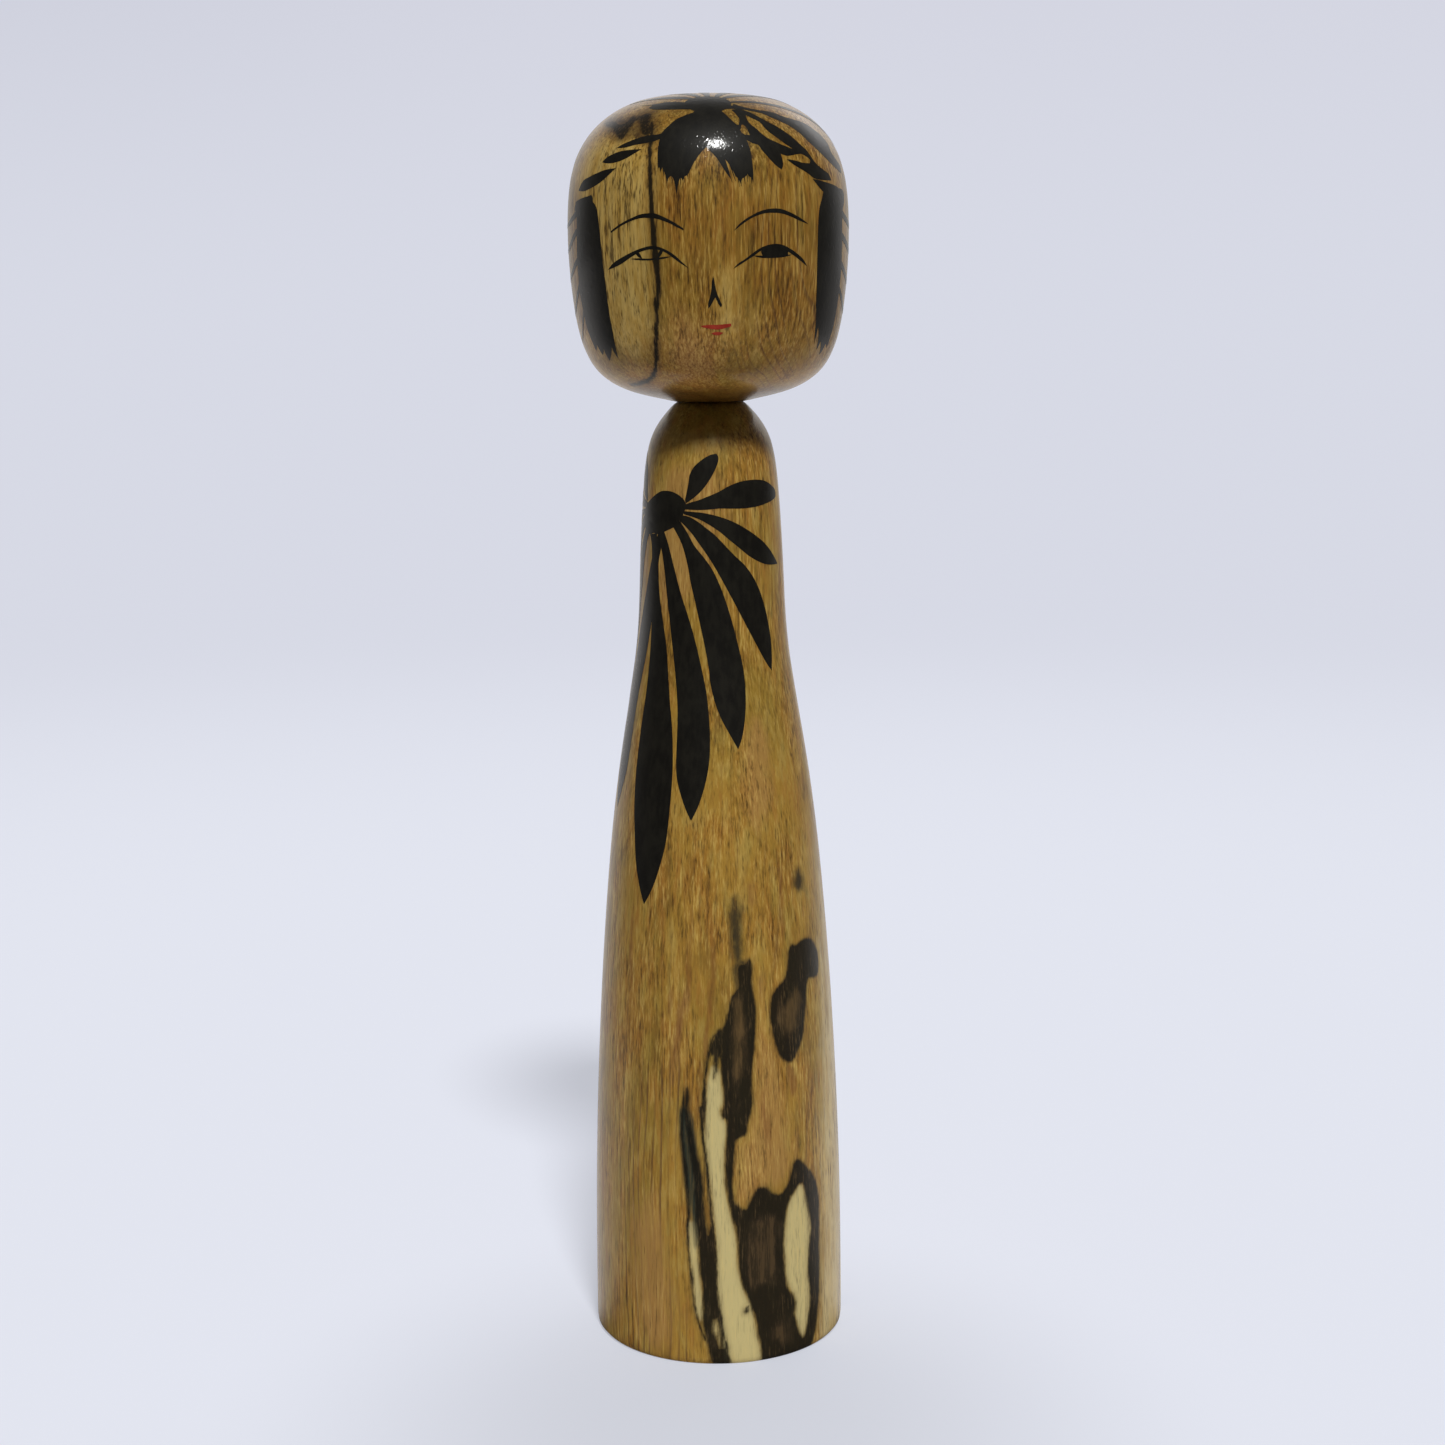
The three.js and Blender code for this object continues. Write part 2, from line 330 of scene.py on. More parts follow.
BODY_FIELDS = {
    "sp_black": ([("area", M1), ("area", M3), ("area", M2), ("area", L2_BAND), ("area", JOIN), ("area", BULGE),
                  ("area", RIGHT_BLACK), ("area", BACK_BLACK),
                  ("area", [(12.0, 11.6), (13.2, 11.4), (13.0, 10.3), (11.3, 10.2)])],
                 [("area", C2), ("area", LOW_GAP), ("area", BACK_PALE_HOLE)]),
    "sp_core": ([("area", [(10, 74), (14, 74), (15.5, 68), (15, 62), (13, 57), (11, 50), (9, 50), (7, 56), (6.5, 62), (7, 68)]),
                 ("area", [(13, 29), (18, 30), (29, 30), (30, 24), (30, 16), (35, 9), (36, 5), (33, 2), (27, 3), (23, 4), (26, 9), (26, 14),
                           (20, 15), (16, 13), (12, 17), (11, 22)]),
                 ("area", [(42.2, 74.4), (47.4, 73.0), (47.6, 68.7), (43.6, 64.8), (38.5, 62.9), (33.2, 63.8), (30.8, 67.0), (32.2, 70.7), (37.0, 73.0)]),
                 ("area", [(-5, 10), (-2, 10), (0, 5), (-2, 3)])], []),
    "sp_heart": ([("area", [(42.2, 73.4), (45.8, 72.0), (45.6, 68.9), (42.4, 66.2), (38.5, 64.4), (34.8, 65.2), (33.0, 67.6), (34.4, 70.0), (38.2, 71.8)]),
                  ("area", [(9.4, 72.5), (12.6, 72.5), (13.4, 67), (12.8, 61.5), (11.0, 57), (9.4, 57.5), (8.6, 62), (8.6, 68)])], []),
    "sp_cream": ([("area", CREAM_1), ("area", C2), ("area", LOW_GAP), ("area", RIGHT_PALE), ("area", BACK_PALE), ("area", BACK_PALE_HOLE),
                  ("area", [(-13.5, 29), (-10.4, 29), (-9.2, 22), (-7.7, 14), (-7.8, 9), (-10, 10), (-12, 17), (-13.2, 23)])], []),
    "sp_pink": ([("area", [(8, 44.5), (7, 38), (8, 33.5), (14, 32.5), (20, 36), (26, 35), (33, 36), (38, 41), (34, 50), (29, 58), (25, 68), (23, 76),
                           (20, 66), (17, 55), (13, 46)]),
                 ("area", [(-24, 24), (-30, 34), (-40, 30), (-42, 10), (-34, 2), (-22, 6)]),
                 ("area", [(22, 124), (34, 126), (38, 118), (34, 108), (24, 104), (17, 110)]),
                 ("area", [(-44, 171), (0, 173), (10, 168), (2, 156), (-10, 150), (-44, 146)]),
                 ("line", [(18.8, 94, 0.5), (18.6, 91, 0.5)]),
                 ("line", [(-15, 73, 0.3), (-17.5, 68, 0.8), (-19.5, 63, 0.7), (-21, 56, 0.3)])], []),
    "sp_soft": ([("area", [(9.8, 92.2), (11.8, 91.0), (12.8, 87.4), (12.7, 83), (12.2, 80.2), (10.4, 80.2), (8.7, 83), (7.8, 86.5), (8.3, 90.2)]),
                 ("area", [(48.5, 95.5), (51.5, 95.6), (53.5, 93.6), (51.5, 91.9), (48.8, 92.2), (47.4, 93.8)]),
                 ("area", [(10.6, 79.6), (14.2, 79.6), (14.2, 74.5), (10.8, 74.5)])], []),
    "sp_red": ([("line", [(-15, 74, 0.0), (-17.5, 68, 0.45), (-19.8, 62, 0.35), (-21, 56, 0.0)]),
                ("line", [(20.5, 57, 0.0), (22, 51, 0.35), (24, 46, 0.4), (25, 41, 0.0)]),
                ("area", [(35.6, 58), (39, 57.5), (40, 54), (38, 52.2), (36, 54)]),
                ("line", [(18.5, 94, 0.3), (18.5, 91, 0.3)]),
                ("line", [(-22, 75, 0.0), (-22.5, 72, 0.3), (-23.5, 69, 0.0)]),
                ("line", [(-12, 90, 0.0), (-13, 80, 0.25), (-13, 73, 0.0)]),
                ("line", [(-47, 92, 0.0), (-48, 82, 0.25), (-45, 70, 0.0)]),
                ("line", [(-2, 90, 0.0), (-1, 80, 0.3), (-3, 70, 0.25), (-7, 60, 0.2), (-9.5, 50, 0.0)]),
                ("line", [(36, 100, 0.0), (37, 90, 0.3), (36, 82, 0.0)])], []),
    "sp_rings": ([("area", [(-16, 60), (-17, 30), (-14, 0), (-14, -2), (-52, -2), (-50, 20), (-46, 42), (-30, 58)])], []),
    "sp_gold": ([("area", [(57, 40), (58, 20), (56, -2), (86, -2), (92, 20), (90, 50), (87, 70), (84, 58), (80, 84), (76, 92), (74, 74), (70, 62), (67, 80), (64, 64), (60, 52)])], []),
    "sp_teal": ([("area", [(-15.5, 51), (-12.8, 50), (-10, 42), (-8.7, 36), (-9.3, 29), (-10.4, 24), (-11.8, 30), (-13.4, 35), (-14.8, 41), (-15.8, 46)])], []),
}
BODY_LINES = {
    "l1": [(2, 67, 0.2), (0.5, 66.3, 0.26), (-2, 64.7, 0.28), (-3.2, 62.5, 0.24), (-4.5, 60, 0.22), (-5.5, 57, 0.22), (-6.2, 54, 0.24), (-6.7, 51.5, 0.34),
           (-7, 50, 0.36), (-6.8, 47, 0.30), (-6, 44, 0.26), (-5, 41, 0.25), (-4.4, 38, 0.22), (-3.8, 35, 0.22), (-3.3, 32, 0.22), (-2.8, 29, 0.2),
           (-2, 27, 0.2), (-1.6, 24, 0.22), (-1.5, 20, 0.22), (-1, 14, 0.2), (0, 11, 0.2), (1.2, 8, 0.2), (3, 4, 0.2), (5, -1, 0.2)],
    "l2": [(-15, 55, 0.18), (-16.2, 49, 0.26), (-16.4, 46, 0.26), (-15.6, 42, 0.24), (-14.6, 38, 0.24), (-13.6, 34, 0.22), (-13.4, 31, 0.2), (-14, 28, 0.16),
           (-13.6, 24, 0.16), (-13, 20, 0.15), (-12, 16, 0.15), (-11, 12, 0.15), (-9.6, 9, 0.16), (-8, 7, 0.2), (-6, 5, 0.2)],
    "l3": [(76, -1, 0.2), (78.5, 10, 0.24), (83, 21, 0.2), (84, 32, 0.26), (80.5, 42, 0.22), (82, 52, 0.26), (87, 59, 0.22), (90, 68, 0.18), (89, 77, 0.1)],
    "l4": [(152, -1, 0.22), (155, 10, 0.26), (151, 22, 0.2), (156, 32, 0.28), (163, 39, 0.24), (164, 50, 0.2), (158, 60, 0.22), (160, 69, 0.12)],
    "l5": [(-152, -1, 0.2), (-148, 9, 0.22), (-150, 20, 0.18), (-144, 33, 0.26), (-146, 47, 0.2), (-141, 55, 0.1)],
}
HEAD_FIELDS = {
    "sp_black": ([("area", [(-62.6, 236.2), (-54.8, 235.6), (-48.4, 235.3), (-44.2, 235.5), (-42.9, 236.2), (-42.0, 236.7), (-40.1, 236.4), (-39.6, 235.2), (-38.4, 233.7), (-39.5, 232.9), (-43.4, 232.7), (-47.1, 233.6), (-53.4, 234.9)]),
                  ("area", [(-41.3, 236.7), (-36.7, 236.4), (-29.4, 235.9), (-26.9, 234.1), (-26.5, 232.7), (-28.5, 232.8), (-31.1, 233.3), (-33.6, 234.8), (-36.4, 235.6)]),
                  ("area", [(-25.2, 233.4), (-28, 235.6), (-31, 236.9), (-35, 236.9), (-38.5, 236.3), (-38.5, 235.6), (-34, 236.1), (-31, 235.9), (-28.6, 234.6), (-26.4, 232.6)]),
                  ("area", [(-38, 236.2), (-45, 235.1), (-52, 235.9), (-60, 236.2), (-67, 236.4), (-60, 235.4), (-50, 234.4), (-46, 233.6), (-43, 232.6), (-40, 232.3), (-38.2, 234)]),
                  ("area", [(-19.6, 204.8), (-22.2, 204.2), (-22.4, 202.4), (-20.8, 202.2), (-19.9, 203.2)])], []),
    "sp_soft": ([("area", [(-25.4, 233.2), (-28.6, 235.6), (-33, 236.9), (-38.6, 236.4), (-37.6, 235.2), (-34.4, 234.8), (-32.6, 232.6), (-28.6, 231.9), (-25.4, 231.9)]),
                 ("area", [(-42, 236.0), (-53, 236.4), (-66, 236.7), (-56, 235.2), (-47.5, 233.9), (-42, 232.7), (-39.4, 232.7), (-38.6, 234.4)])], []),
    "sp_gold": ([("area", [(-24, 231), (-30, 233), (-44, 233), (-60, 232), (-68, 227), (-60, 220), (-50, 214), (-50, 205), (-46, 197), (-36, 194), (-26, 197), (-25, 212)]),
                 ("area", [(6, 208), (9, 208), (12, 202), (9, 197), (6, 200)])], []),
    "sp_pink": ([("area", [(-15, 203), (-6, 201), (1, 196), (3, 189), (-14, 188.5), (-18, 196)])], []),
    "sp_rings": ([("area", [(14, 226), (60, 224), (64, 206), (52, 190), (16, 190), (8, 204)])], []),
}
HEAD_LINES = {
    "l1": [(-27.5, 235.4, 0.201), (-26, 234, 0.356), (-25, 232.6, 0.325), (-24, 229, 0.279), (-23.2, 226, 0.309), (-22.5, 222, 0.356), (-22, 218, 0.387), (-21.5, 214, 0.480), (-20.9, 211, 0.543), (-20.4, 208, 0.411), (-20.2, 206, 0.411), (-20.6, 204.5, 0.411), (-21.4, 203, 0.364), (-22, 200, 0.293), (-23, 197.5, 0.317), (-24, 195, 0.293), (-25, 192.8, 0.293), (-27, 191.2, 0.270), (-30, 190, 0.270), (-33, 189.4, 0.246), (-38, 188.9, 0.246), (-45, 188.5, 0.187), (-55, 188.2, 0.069)],
    "l2": [(-150, 233, 0.1), (-153, 226, 0.22), (-149, 217, 0.24), (-153, 208, 0.28), (-150, 199, 0.22), (-154, 191, 0.2), (-162, 188, 0.1)],
    "l3": [(118, 229, 0.1), (122, 221, 0.2), (120, 212, 0.24), (125, 204, 0.2), (124, 196, 0.14)],
}


def add_fields(ob, form, table, z_lo):
    me = ob.data
    co = np.zeros(len(me.vertices) * 3)
    me.vertices.foreach_get("co", co)
    co = co.reshape(-1, 3) / MM
    deg = np.degrees(np.arctan2(co[:, 0], -co[:, 1]))
    rad = np.hypot(co[:, 0], co[:, 1])
    for name, (shapes, holes) in table.items():
        f = field(deg, co[:, 2], rad, shapes)
        if holes:
            f = np.minimum(f, -field(deg, co[:, 2], rad, holes))
        a = me.attributes.new(name, "FLOAT", "POINT")
        a.data.foreach_set("value", f.astype(np.float32))


def add_lines(ob, table, reach=5.0):
    """For each thin line: the offset across it, signed so that it passes through zero, and its half width there."""
    me = ob.data
    co = np.zeros(len(me.vertices) * 3)
    me.vertices.foreach_get("co", co)
    co = co.reshape(-1, 3) / MM
    deg = np.degrees(np.arctan2(co[:, 0], -co[:, 1]))
    k = np.maximum(np.hypot(co[:, 0], co[:, 1]), 2.0) * np.pi / 180
    for name, pts in table.items():
        A = np.array(pts, float)
        off, wid = np.full(len(co), reach), np.full(len(co), -reach)
        for turn in (-360, 0, 360):
            lo, hi = A.min(0), A.max(0)
            m = (deg + turn > lo[0] - reach / k) & (deg + turn < hi[0] + reach / k) & (co[:, 2] > lo[1] - reach) & (co[:, 2] < hi[1] + reach)
            if not m.any():
                continue
            d, y, kk = deg[m] + turn, co[m, 2], k[m]
            Q = smooth_run(A * [0.42, 1, 1], 0.8) / [0.42, 1, 1]
            best, sign, w = np.full(len(d), 1e9), np.ones(len(d)), np.zeros(len(d))
            for i in range(len(Q) - 1):
                ax, ay = (d - Q[i, 0]) * kk, y - Q[i, 1]
                bx, by = (Q[i + 1, 0] - Q[i, 0]) * kk, Q[i + 1, 1] - Q[i, 1]
                L2 = bx * bx + by * by
                t0 = (ax * bx + ay * by) / L2
                t = np.clip(t0, 0, 1)
                dd = np.hypot(ax - t * bx, ay - t * by)
                over = np.zeros(len(d))
                if i == 0:
                    over = np.maximum(over, -t0 * np.sqrt(L2))
                if i == len(Q) - 2:
                    over = np.maximum(over, (t0 - 1) * np.sqrt(L2))
                u = dd < best
                best[u] = dd[u]
                sign[u] = np.sign(ax * by - ay * bx + 1e-12)[u]
                w[u] = (Q[i, 2] * (1 - t) + Q[i + 1, 2] * t - 1.5 * over)[u]
            u = best < reach
            idx = np.flatnonzero(m)[u]
            off[idx], wid[idx] = (best * sign)[u], w[u]
        for suffix, v in (("_off", off), ("_w", wid)):
            a = me.attributes.new(name + suffix, "FLOAT", "POINT")
            a.data.foreach_set("value", v.astype(np.float32))


add_fields(body, body_form, BODY_FIELDS, 0)
add_fields(head, head_form, HEAD_FIELDS, 0)
add_lines(body, BODY_LINES)
add_lines(head, HEAD_LINES)


# ---------------------------------------------------------------- materials
class Nodes:
    """Short hand for a node tree."""

    def __init__(self, mat):
        mat.use_nodes = True
        self.t = mat.node_tree
        self.t.nodes.clear()

    def n(self, kind, props=None, **ins):
        node = self.t.nodes.new(kind)
        for k, v in (props or {}).items():
            setattr(node, k, v)
        for k, v in ins.items():
            self.set(node, k, v)
        return node

    def set(self, node, key, v):
        sock = node.inputs[int(key[1:])] if key[0] == "i" and key[1:].isdigit() else node.inputs[key.replace("_", " ")]
        if isinstance(v, bpy.types.NodeSocket):
            self.t.links.new(v, sock)
        else:
            sock.default_value = v

    def math(self, op, a, b=0.0, c=0.0, clamp=False):
        m = self.n("ShaderNodeMath", {"operation": op, "use_clamp": clamp}, i0=a, i1=b)
        if op in ("MULTIPLY_ADD", "SMOOTH_MIN", "SMOOTH_MAX", "WRAP", "COMPARE"):
            self.set(m, "i2", c)
        return m.outputs[0]

    def vec(self, op, a, b):
        return self.n("ShaderNodeVectorMath", {"operation": op}, i0=a, i1=b).outputs[0]

    def ramp01(self, v, lo, hi):
        """0 below lo, 1 above hi, smooth between (lo may be over hi)."""
        flip = lo > hi
        if flip:
            lo, hi = hi, lo
        m = self.n("ShaderNodeMapRange", {"interpolation_type": "SMOOTHSTEP"}, Value=v)
        m.inputs["From Min"].default_value, m.inputs["From Max"].default_value = lo, hi
        m.inputs["To Min"].default_value, m.inputs["To Max"].default_value = (1, 0) if flip else (0, 1)
        return m.outputs[0]

    def lerp(self, v, a, b):
        m = self.n("ShaderNodeMapRange", Value=v)
        m.inputs["To Min"].default_value, m.inputs["To Max"].default_value = a, b
        return m.outputs[0]

    def mix(self, f, a, b, blend="MIX"):
        m = self.n("ShaderNodeMix", {"data_type": "RGBA", "blend_type": blend, "clamp_factor": True})
        for key, v in (("Factor", f), ("A", a), ("B", b)):
            sock = [s for s in m.inputs if s.name == key and (s.type == "VALUE" if key == "Factor" else s.type == "RGBA")][0]
            if isinstance(v, bpy.types.NodeSocket):
                self.t.links.new(v, sock)
            else:
                sock.default_value = v if key == "Factor" else (*v, 1)
        return [s for s in m.outputs if s.type == "RGBA"][0]

    def noise(self, co, scale, detail=3.0, rough=0.55, dist=0.0):
        return self.n("ShaderNodeTexNoise", {"noise_dimensions": "3D"}, Vector=co, Scale=scale, Detail=detail, Roughness=rough, Distortion=dist).outputs[0]

    def attr(self, name):
        return self.n("ShaderNodeAttribute", {"attribute_name": name}).outputs["Fac"]


GOLD, ORANGE, OLIVE, BROWN = (0.35, 0.200, 0.032), (0.315, 0.148, 0.022), (0.235, 0.152, 0.022), (0.160, 0.084, 0.016)
PALE, CREAM, PINK = (0.44, 0.315, 0.085), (0.575, 0.492, 0.232), (0.37, 0.205, 0.060)
BLACK, CORE = (0.0095, 0.0085, 0.0055), (0.044, 0.029, 0.015)


def wood(name, pith, freq, seed, has):
    mat = bpy.data.materials.new(name)
    g = Nodes(mat)
    tc = g.n("ShaderNodeTexCoord").outputs["Object"]
    P = g.vec("MULTIPLY", tc, (1000, 1000, 1000))  # millimetres
    P = g.vec("ADD", P, (seed * 37.0, seed * 11.0, seed * 53.0))
    warp = g.n("ShaderNodeTexNoise", {"noise_dimensions": "3D"}, Vector=g.vec("MULTIPLY", P, (0.05, 0.05, 0.018)), Scale=1.0, Detail=2.0)
    W = g.vec("MULTIPLY", g.vec("SUBTRACT", warp.outputs["Color"], (0.5, 0.5, 0.5)), (7.0, 7.0, 0.0))
    Q = g.vec("ADD", P, W)
    # growth rings about a pith well outside the piece
    sep = g.n("ShaderNodeSeparateXYZ", i0=Q)
    dx = g.math("SUBTRACT", sep.outputs[0], pith[0] + seed * 37.0)
    dy = g.math("SUBTRACT", sep.outputs[1], pith[1] + seed * 11.0)
    d = g.math("SQRT", g.math("ADD", g.math("MULTIPLY", dx, dx), g.math("MULTIPLY", dy, dy)))
    turns = g.math("MULTIPLY", d, freq)
    ring = g.math("FRACT", turns)
    vary = g.noise(g.n("ShaderNodeCombineXYZ", i0=g.math("MULTIPLY", turns, 0.9), i2=g.math("MULTIPLY", sep.outputs[2], 0.02)).outputs[0], 1.0, 1.0)
    late = g.math("MULTIPLY", g.ramp01(ring, 0.58, 0.88), g.ramp01(ring, 1.0, 0.92))
    late = g.math("MULTIPLY", late, g.lerp(g.ramp01(vary, 0.40, 0.60), 0.25, 1.0))
    # fibre streaks, coarse to fine
    f1 = g.noise(g.vec("MULTIPLY", Q, (0.80, 0.80, 0.035)), 1.0, 3.0, 0.65)
    f2 = g.noise(g.vec("MULTIPLY", P, (2.3, 2.3, 0.16)), 1.0, 3.0, 0.6)
    f3 = g.noise(g.vec("MULTIPLY", P, (3.8, 3.8, 0.42)), 1.0, 2.0, 0.6)
    hue = g.noise(g.vec("MULTIPLY", g.vec("ADD", P, (5.0, 9.0, 31.0)), (0.55, 0.55, 0.10)), 1.0, 3.0, 0.65)
    patch = g.noise(g.vec("MULTIPLY", P, (0.085, 0.085, 0.026)), 1.0, 3.0, 0.55)
    patch2 = g.noise(g.vec("MULTIPLY", g.vec("ADD", P, (91.0, 13.0, 47.0)), (0.13, 0.13, 0.05)), 1.0, 3.0, 0.6)
    blot = g.noise(g.vec("MULTIPLY", g.vec("ADD", P, (17.0, 71.0, 7.0)), (0.30, 0.30, 0.10)), 1.0, 4.0, 0.62)
    col = g.mix(g.math("MULTIPLY", g.ramp01(patch, 0.40, 0.62), has.get("olive", 0.60)), GOLD, OLIVE)
    col = g.mix(g.math("MULTIPLY", g.ramp01(patch2, 0.46, 0.66), 0.75), col, ORANGE)
    col = g.mix(g.math("MULTIPLY", g.ramp01(blot, 0.48, 0.68), 0.55), col, BROWN)
    col = g.mix(g.math("MULTIPLY", g.ramp01(blot, 0.50, 0.32), 0.45), col, PALE)
    col = g.mix(g.math("MULTIPLY", g.ramp01(hue, 0.52, 0.70), 0.50), col, (0.325, 0.142, 0.025))
    col = g.mix(g.math("MULTIPLY", g.ramp01(hue, 0.48, 0.32), 0.45), col, (0.300, 0.215, 0.045))
    # rings show where the patches let them
    show = g.math("MULTIPLY", late, g.lerp(g.ramp01(patch2, 0.35, 0.65), 0.12, 0.45))
    if has.get("rings"):
        show = g.math("ADD", show, g.math("MULTIPLY", late, g.math("MULTIPLY", g.ramp01(g.attr("sp_rings"), -2.5, 2.5), has.get("ring_show", 0.75))), clamp=True)
    col = g.mix(show, col, (0.155, 0.080, 0.024))
    if has.get("pink"):
        pk = g.ramp01(g.math("ADD", g.attr("sp_pink"), g.math("MULTIPLY", g.math("SUBTRACT", blot, 0.5), 8.0)), -1.5, 2.5)
        col = g.mix(g.math("MULTIPLY", pk, 0.7), col, PINK)
    if has.get("gold"):
        gd = g.ramp01(g.math("ADD", g.attr("sp_gold"), g.math("MULTIPLY", g.math("SUBTRACT", f1, 0.5), 7.0)), -2.5, 2.5)
        col = g.mix(g.math("MULTIPLY", gd, 0.85), col, g.mix(g.ramp01(hue, 0.35, 0.65), *has.get("gold_colours", ((0.64, 0.49, 0.165), (0.51, 0.345, 0.080)))))
    # cream sapwood
    if has.get("cream"):
        wob = g.math("MULTIPLY", g.math("SUBTRACT", f1, 0.5), 1.6)
        cr = g.ramp01(g.math("ADD", g.attr("sp_cream"), wob), -0.5, 0.5)
        col = g.mix(g.math("MULTIPLY", cr, 0.88), col, CREAM)
    # fibres
    tone = g.math("ADD", g.math("MULTIPLY", g.math("SUBTRACT", f1, 0.5), 0.95), g.math("MULTIPLY", g.math("SUBTRACT", f2, 0.5), 1.55))
    fleck = g.math("MULTIPLY", g.math("SUBTRACT", f3, 0.5), 1.3)
    if has.get("rings"):
        fleck = g.math("MULTIPLY", fleck, g.lerp(g.ramp01(g.attr("sp_rings"), -2.5, 2.5), 1.0, 0.45))
    tone = g.math("ADD", tone, fleck)
    calm = g.math("SUBTRACT", 1.0, g.math("MULTIPLY", cr, 0.45)) if has.get("cream") else 1.0
    # with the painted shade under the head, the grain's streaks and pores are damped there too, to about half near the
    # neck
    if has.get("under"):
        calm = g.lerp(g.ramp01(g.n("ShaderNodeSeparateXYZ", i0=tc).outputs[2], 0.1885, 0.2030), 0.52, 1.0)
    cloud = g.lerp(g.ramp01(patch2, 0.36, 0.62), *has.get("contrast", (0.45, 0.95)))
    tone = g.math("MULTIPLY", tone, cloud)
    col = g.mix(g.math("MULTIPLY", g.ramp01(tone, -0.02, 0.48), calm), col, g.mix(0.80, col, (0.040, 0.020, 0.006)))
    col = g.mix(g.math("MULTIPLY", g.ramp01(tone, 0.02, -0.48), calm), col, g.mix(has.get("light", 0.36), col, (0.80, 0.58, 0.17)))
    # pores: short dark dashes along the grain
    vor = g.n("ShaderNodeTexVoronoi", {"feature": "F1"}, Vector=g.vec("MULTIPLY", P, (1.45, 1.45, 0.19)), Scale=1.0, Randomness=1.0)
    pick = g.ramp01(g.noise(g.vec("MULTIPLY", P, (0.5, 0.5, 0.2)), 1.0, 2.0), 0.42, 0.62)
    pore = g.math("MULTIPLY", g.ramp01(vor.outputs["Distance"], 0.22, 0.08), g.lerp(pick, 0.12, 1.0))
    pore = g.math("MULTIPLY", pore, calm)
    col = g.mix(g.math("MULTIPLY", pore, has.get("pores", 0.44)), col, (0.070, 0.036, 0.010))
    if has.get("red"):
        n5 = g.noise(g.vec("MULTIPLY", P, (0.9, 0.9, 0.16)), 1.0, 3.0, 0.6)
        rd = g.ramp01(g.math("ADD", g.attr("sp_red"), g.math("MULTIPLY", g.math("SUBTRACT", n5, 0.5), 1.6)), -0.7, 0.5)
        col = g.mix(g.math("MULTIPLY", rd, 0.55), col, (0.17, 0.062, 0.018))
    if has.get("black"):
        n1 = g.noise(g.vec("MULTIPLY", P, (0.55, 0.55, 0.16)), 1.0, 4.0, 0.62)
        n2 = g.noise(g.vec("MULTIPLY", P, (2.4, 2.4, 0.55)), 1.0, 3.0, 0.6)
        sd = g.attr("sp_black")
        for ln in has.get("lines", ()):
            wob = g.math("MULTIPLY", g.math("SUBTRACT", n1, 0.5), 0.5)
            across = g.math("ABSOLUTE", g.math("ADD", g.attr(ln + "_off"), wob))
            thick = g.math("ADD", g.attr(ln + "_w"), g.math("MULTIPLY", g.math("SUBTRACT", n2, 0.5), 0.22))
            sd = g.math("MAXIMUM", sd, g.math("ADD", g.math("SUBTRACT", thick, across), has.get("line_add", 0.01)))
        rag = g.math("ADD", g.math("MULTIPLY", g.math("SUBTRACT", n1, 0.5), has.get("rag", 1.5)), g.math("MULTIPLY", g.math("SUBTRACT", n2, 0.5), 0.65))
        e = g.math("ADD", sd, rag)
        halo = g.ramp01(e, -1.2, 0.1)
        col = g.mix(g.math("MULTIPLY", halo, 0.50), col, g.mix(0.70, col, (0.13, 0.075, 0.022)))
        if has.get("teal"):
            st = g.ramp01(g.math("ADD", g.attr("sp_teal"), g.math("MULTIPLY", g.math("SUBTRACT", f1, 0.5), 2.4)), -1.1, 0.4)
            col = g.mix(g.math("MULTIPLY", st, g.lerp(g.ramp01(f2, 0.40, 0.62), 0.97, 0.80)), col, (0.020, 0.030, 0.024))
        dark = g.ramp01(e, *has.get("dark", (-0.42, 0.32)))
        core = 0.0
        if has.get("core"):
            core = g.ramp01(g.math("ADD", g.attr("sp_core"), g.math("MULTIPLY", g.math("SUBTRACT", n1, 0.5), 6.0)), -0.2, 1.9)
            core = g.math("MULTIPLY", core, g.lerp(g.ramp01(g.math("ADD", g.math("MULTIPLY", f2, 0.6), g.math("MULTIPLY", f1, 0.6)), 0.47, 0.70), 0.30, 1.0))
            core = g.math("MULTIPLY", core, g.lerp(g.ramp01(blot, 0.40, 0.58), 0.45, 1.15))
        ink = g.mix(core, BLACK, CORE)
        if has.get("core"):
            ink = g.mix(g.math("MULTIPLY", g.ramp01(core, 0.55, 1.05), 0.42), ink, (0.094, 0.057, 0.024))
            heart = g.ramp01(g.math("ADD", g.attr("sp_heart"), g.math("MULTIPLY", g.math("SUBTRACT", n1, 0.5), 4.0)), -0.7, 1.3)
            heart = g.math("MULTIPLY", heart, g.lerp(g.ramp01(f2, 0.42, 0.62), 0.55, 1.0))
            ink = g.mix(g.math("MULTIPLY", heart, 0.60), ink, (0.135, 0.082, 0.030))
        ink = g.mix(g.ramp01(tone, -0.05, -0.40), ink, g.mix(0.35, ink, (0.16, 0.10, 0.045)))
        col = g.mix(g.math("MULTIPLY", dark, 0.96), col, ink)
    if has.get("soft"):
        n3 = g.noise(g.vec("MULTIPLY", P, (0.7, 0.7, 0.35)), 1.0, 4.0, 0.65)
        e2 = g.math("ADD", g.attr("sp_soft"), g.math("MULTIPLY", g.math("SUBTRACT", n3, 0.5), 2.2))
        s2 = g.ramp01(e2, -1.5, 0.8)
        s2 = g.math("MULTIPLY", s2, g.math("SUBTRACT", 1.0, dark)) if has.get("black") else s2
        col = g.mix(g.math("MULTIPLY", s2, 0.92), col, has.get("soft_colour", (0.026, 0.023, 0.014)))
    # painted shade: the head's underside is multiplied darker towards the neck, where the shoulder shades it
    if has.get("under"):
        z = g.n("ShaderNodeSeparateXYZ", i0=tc).outputs[2]
        col = g.mix(g.ramp01(z, has["under"][0] / 1000, has["under"][1] / 1000), col, g.mix(1.0, col, (0.46, 0.39, 0.34), "MULTIPLY"))
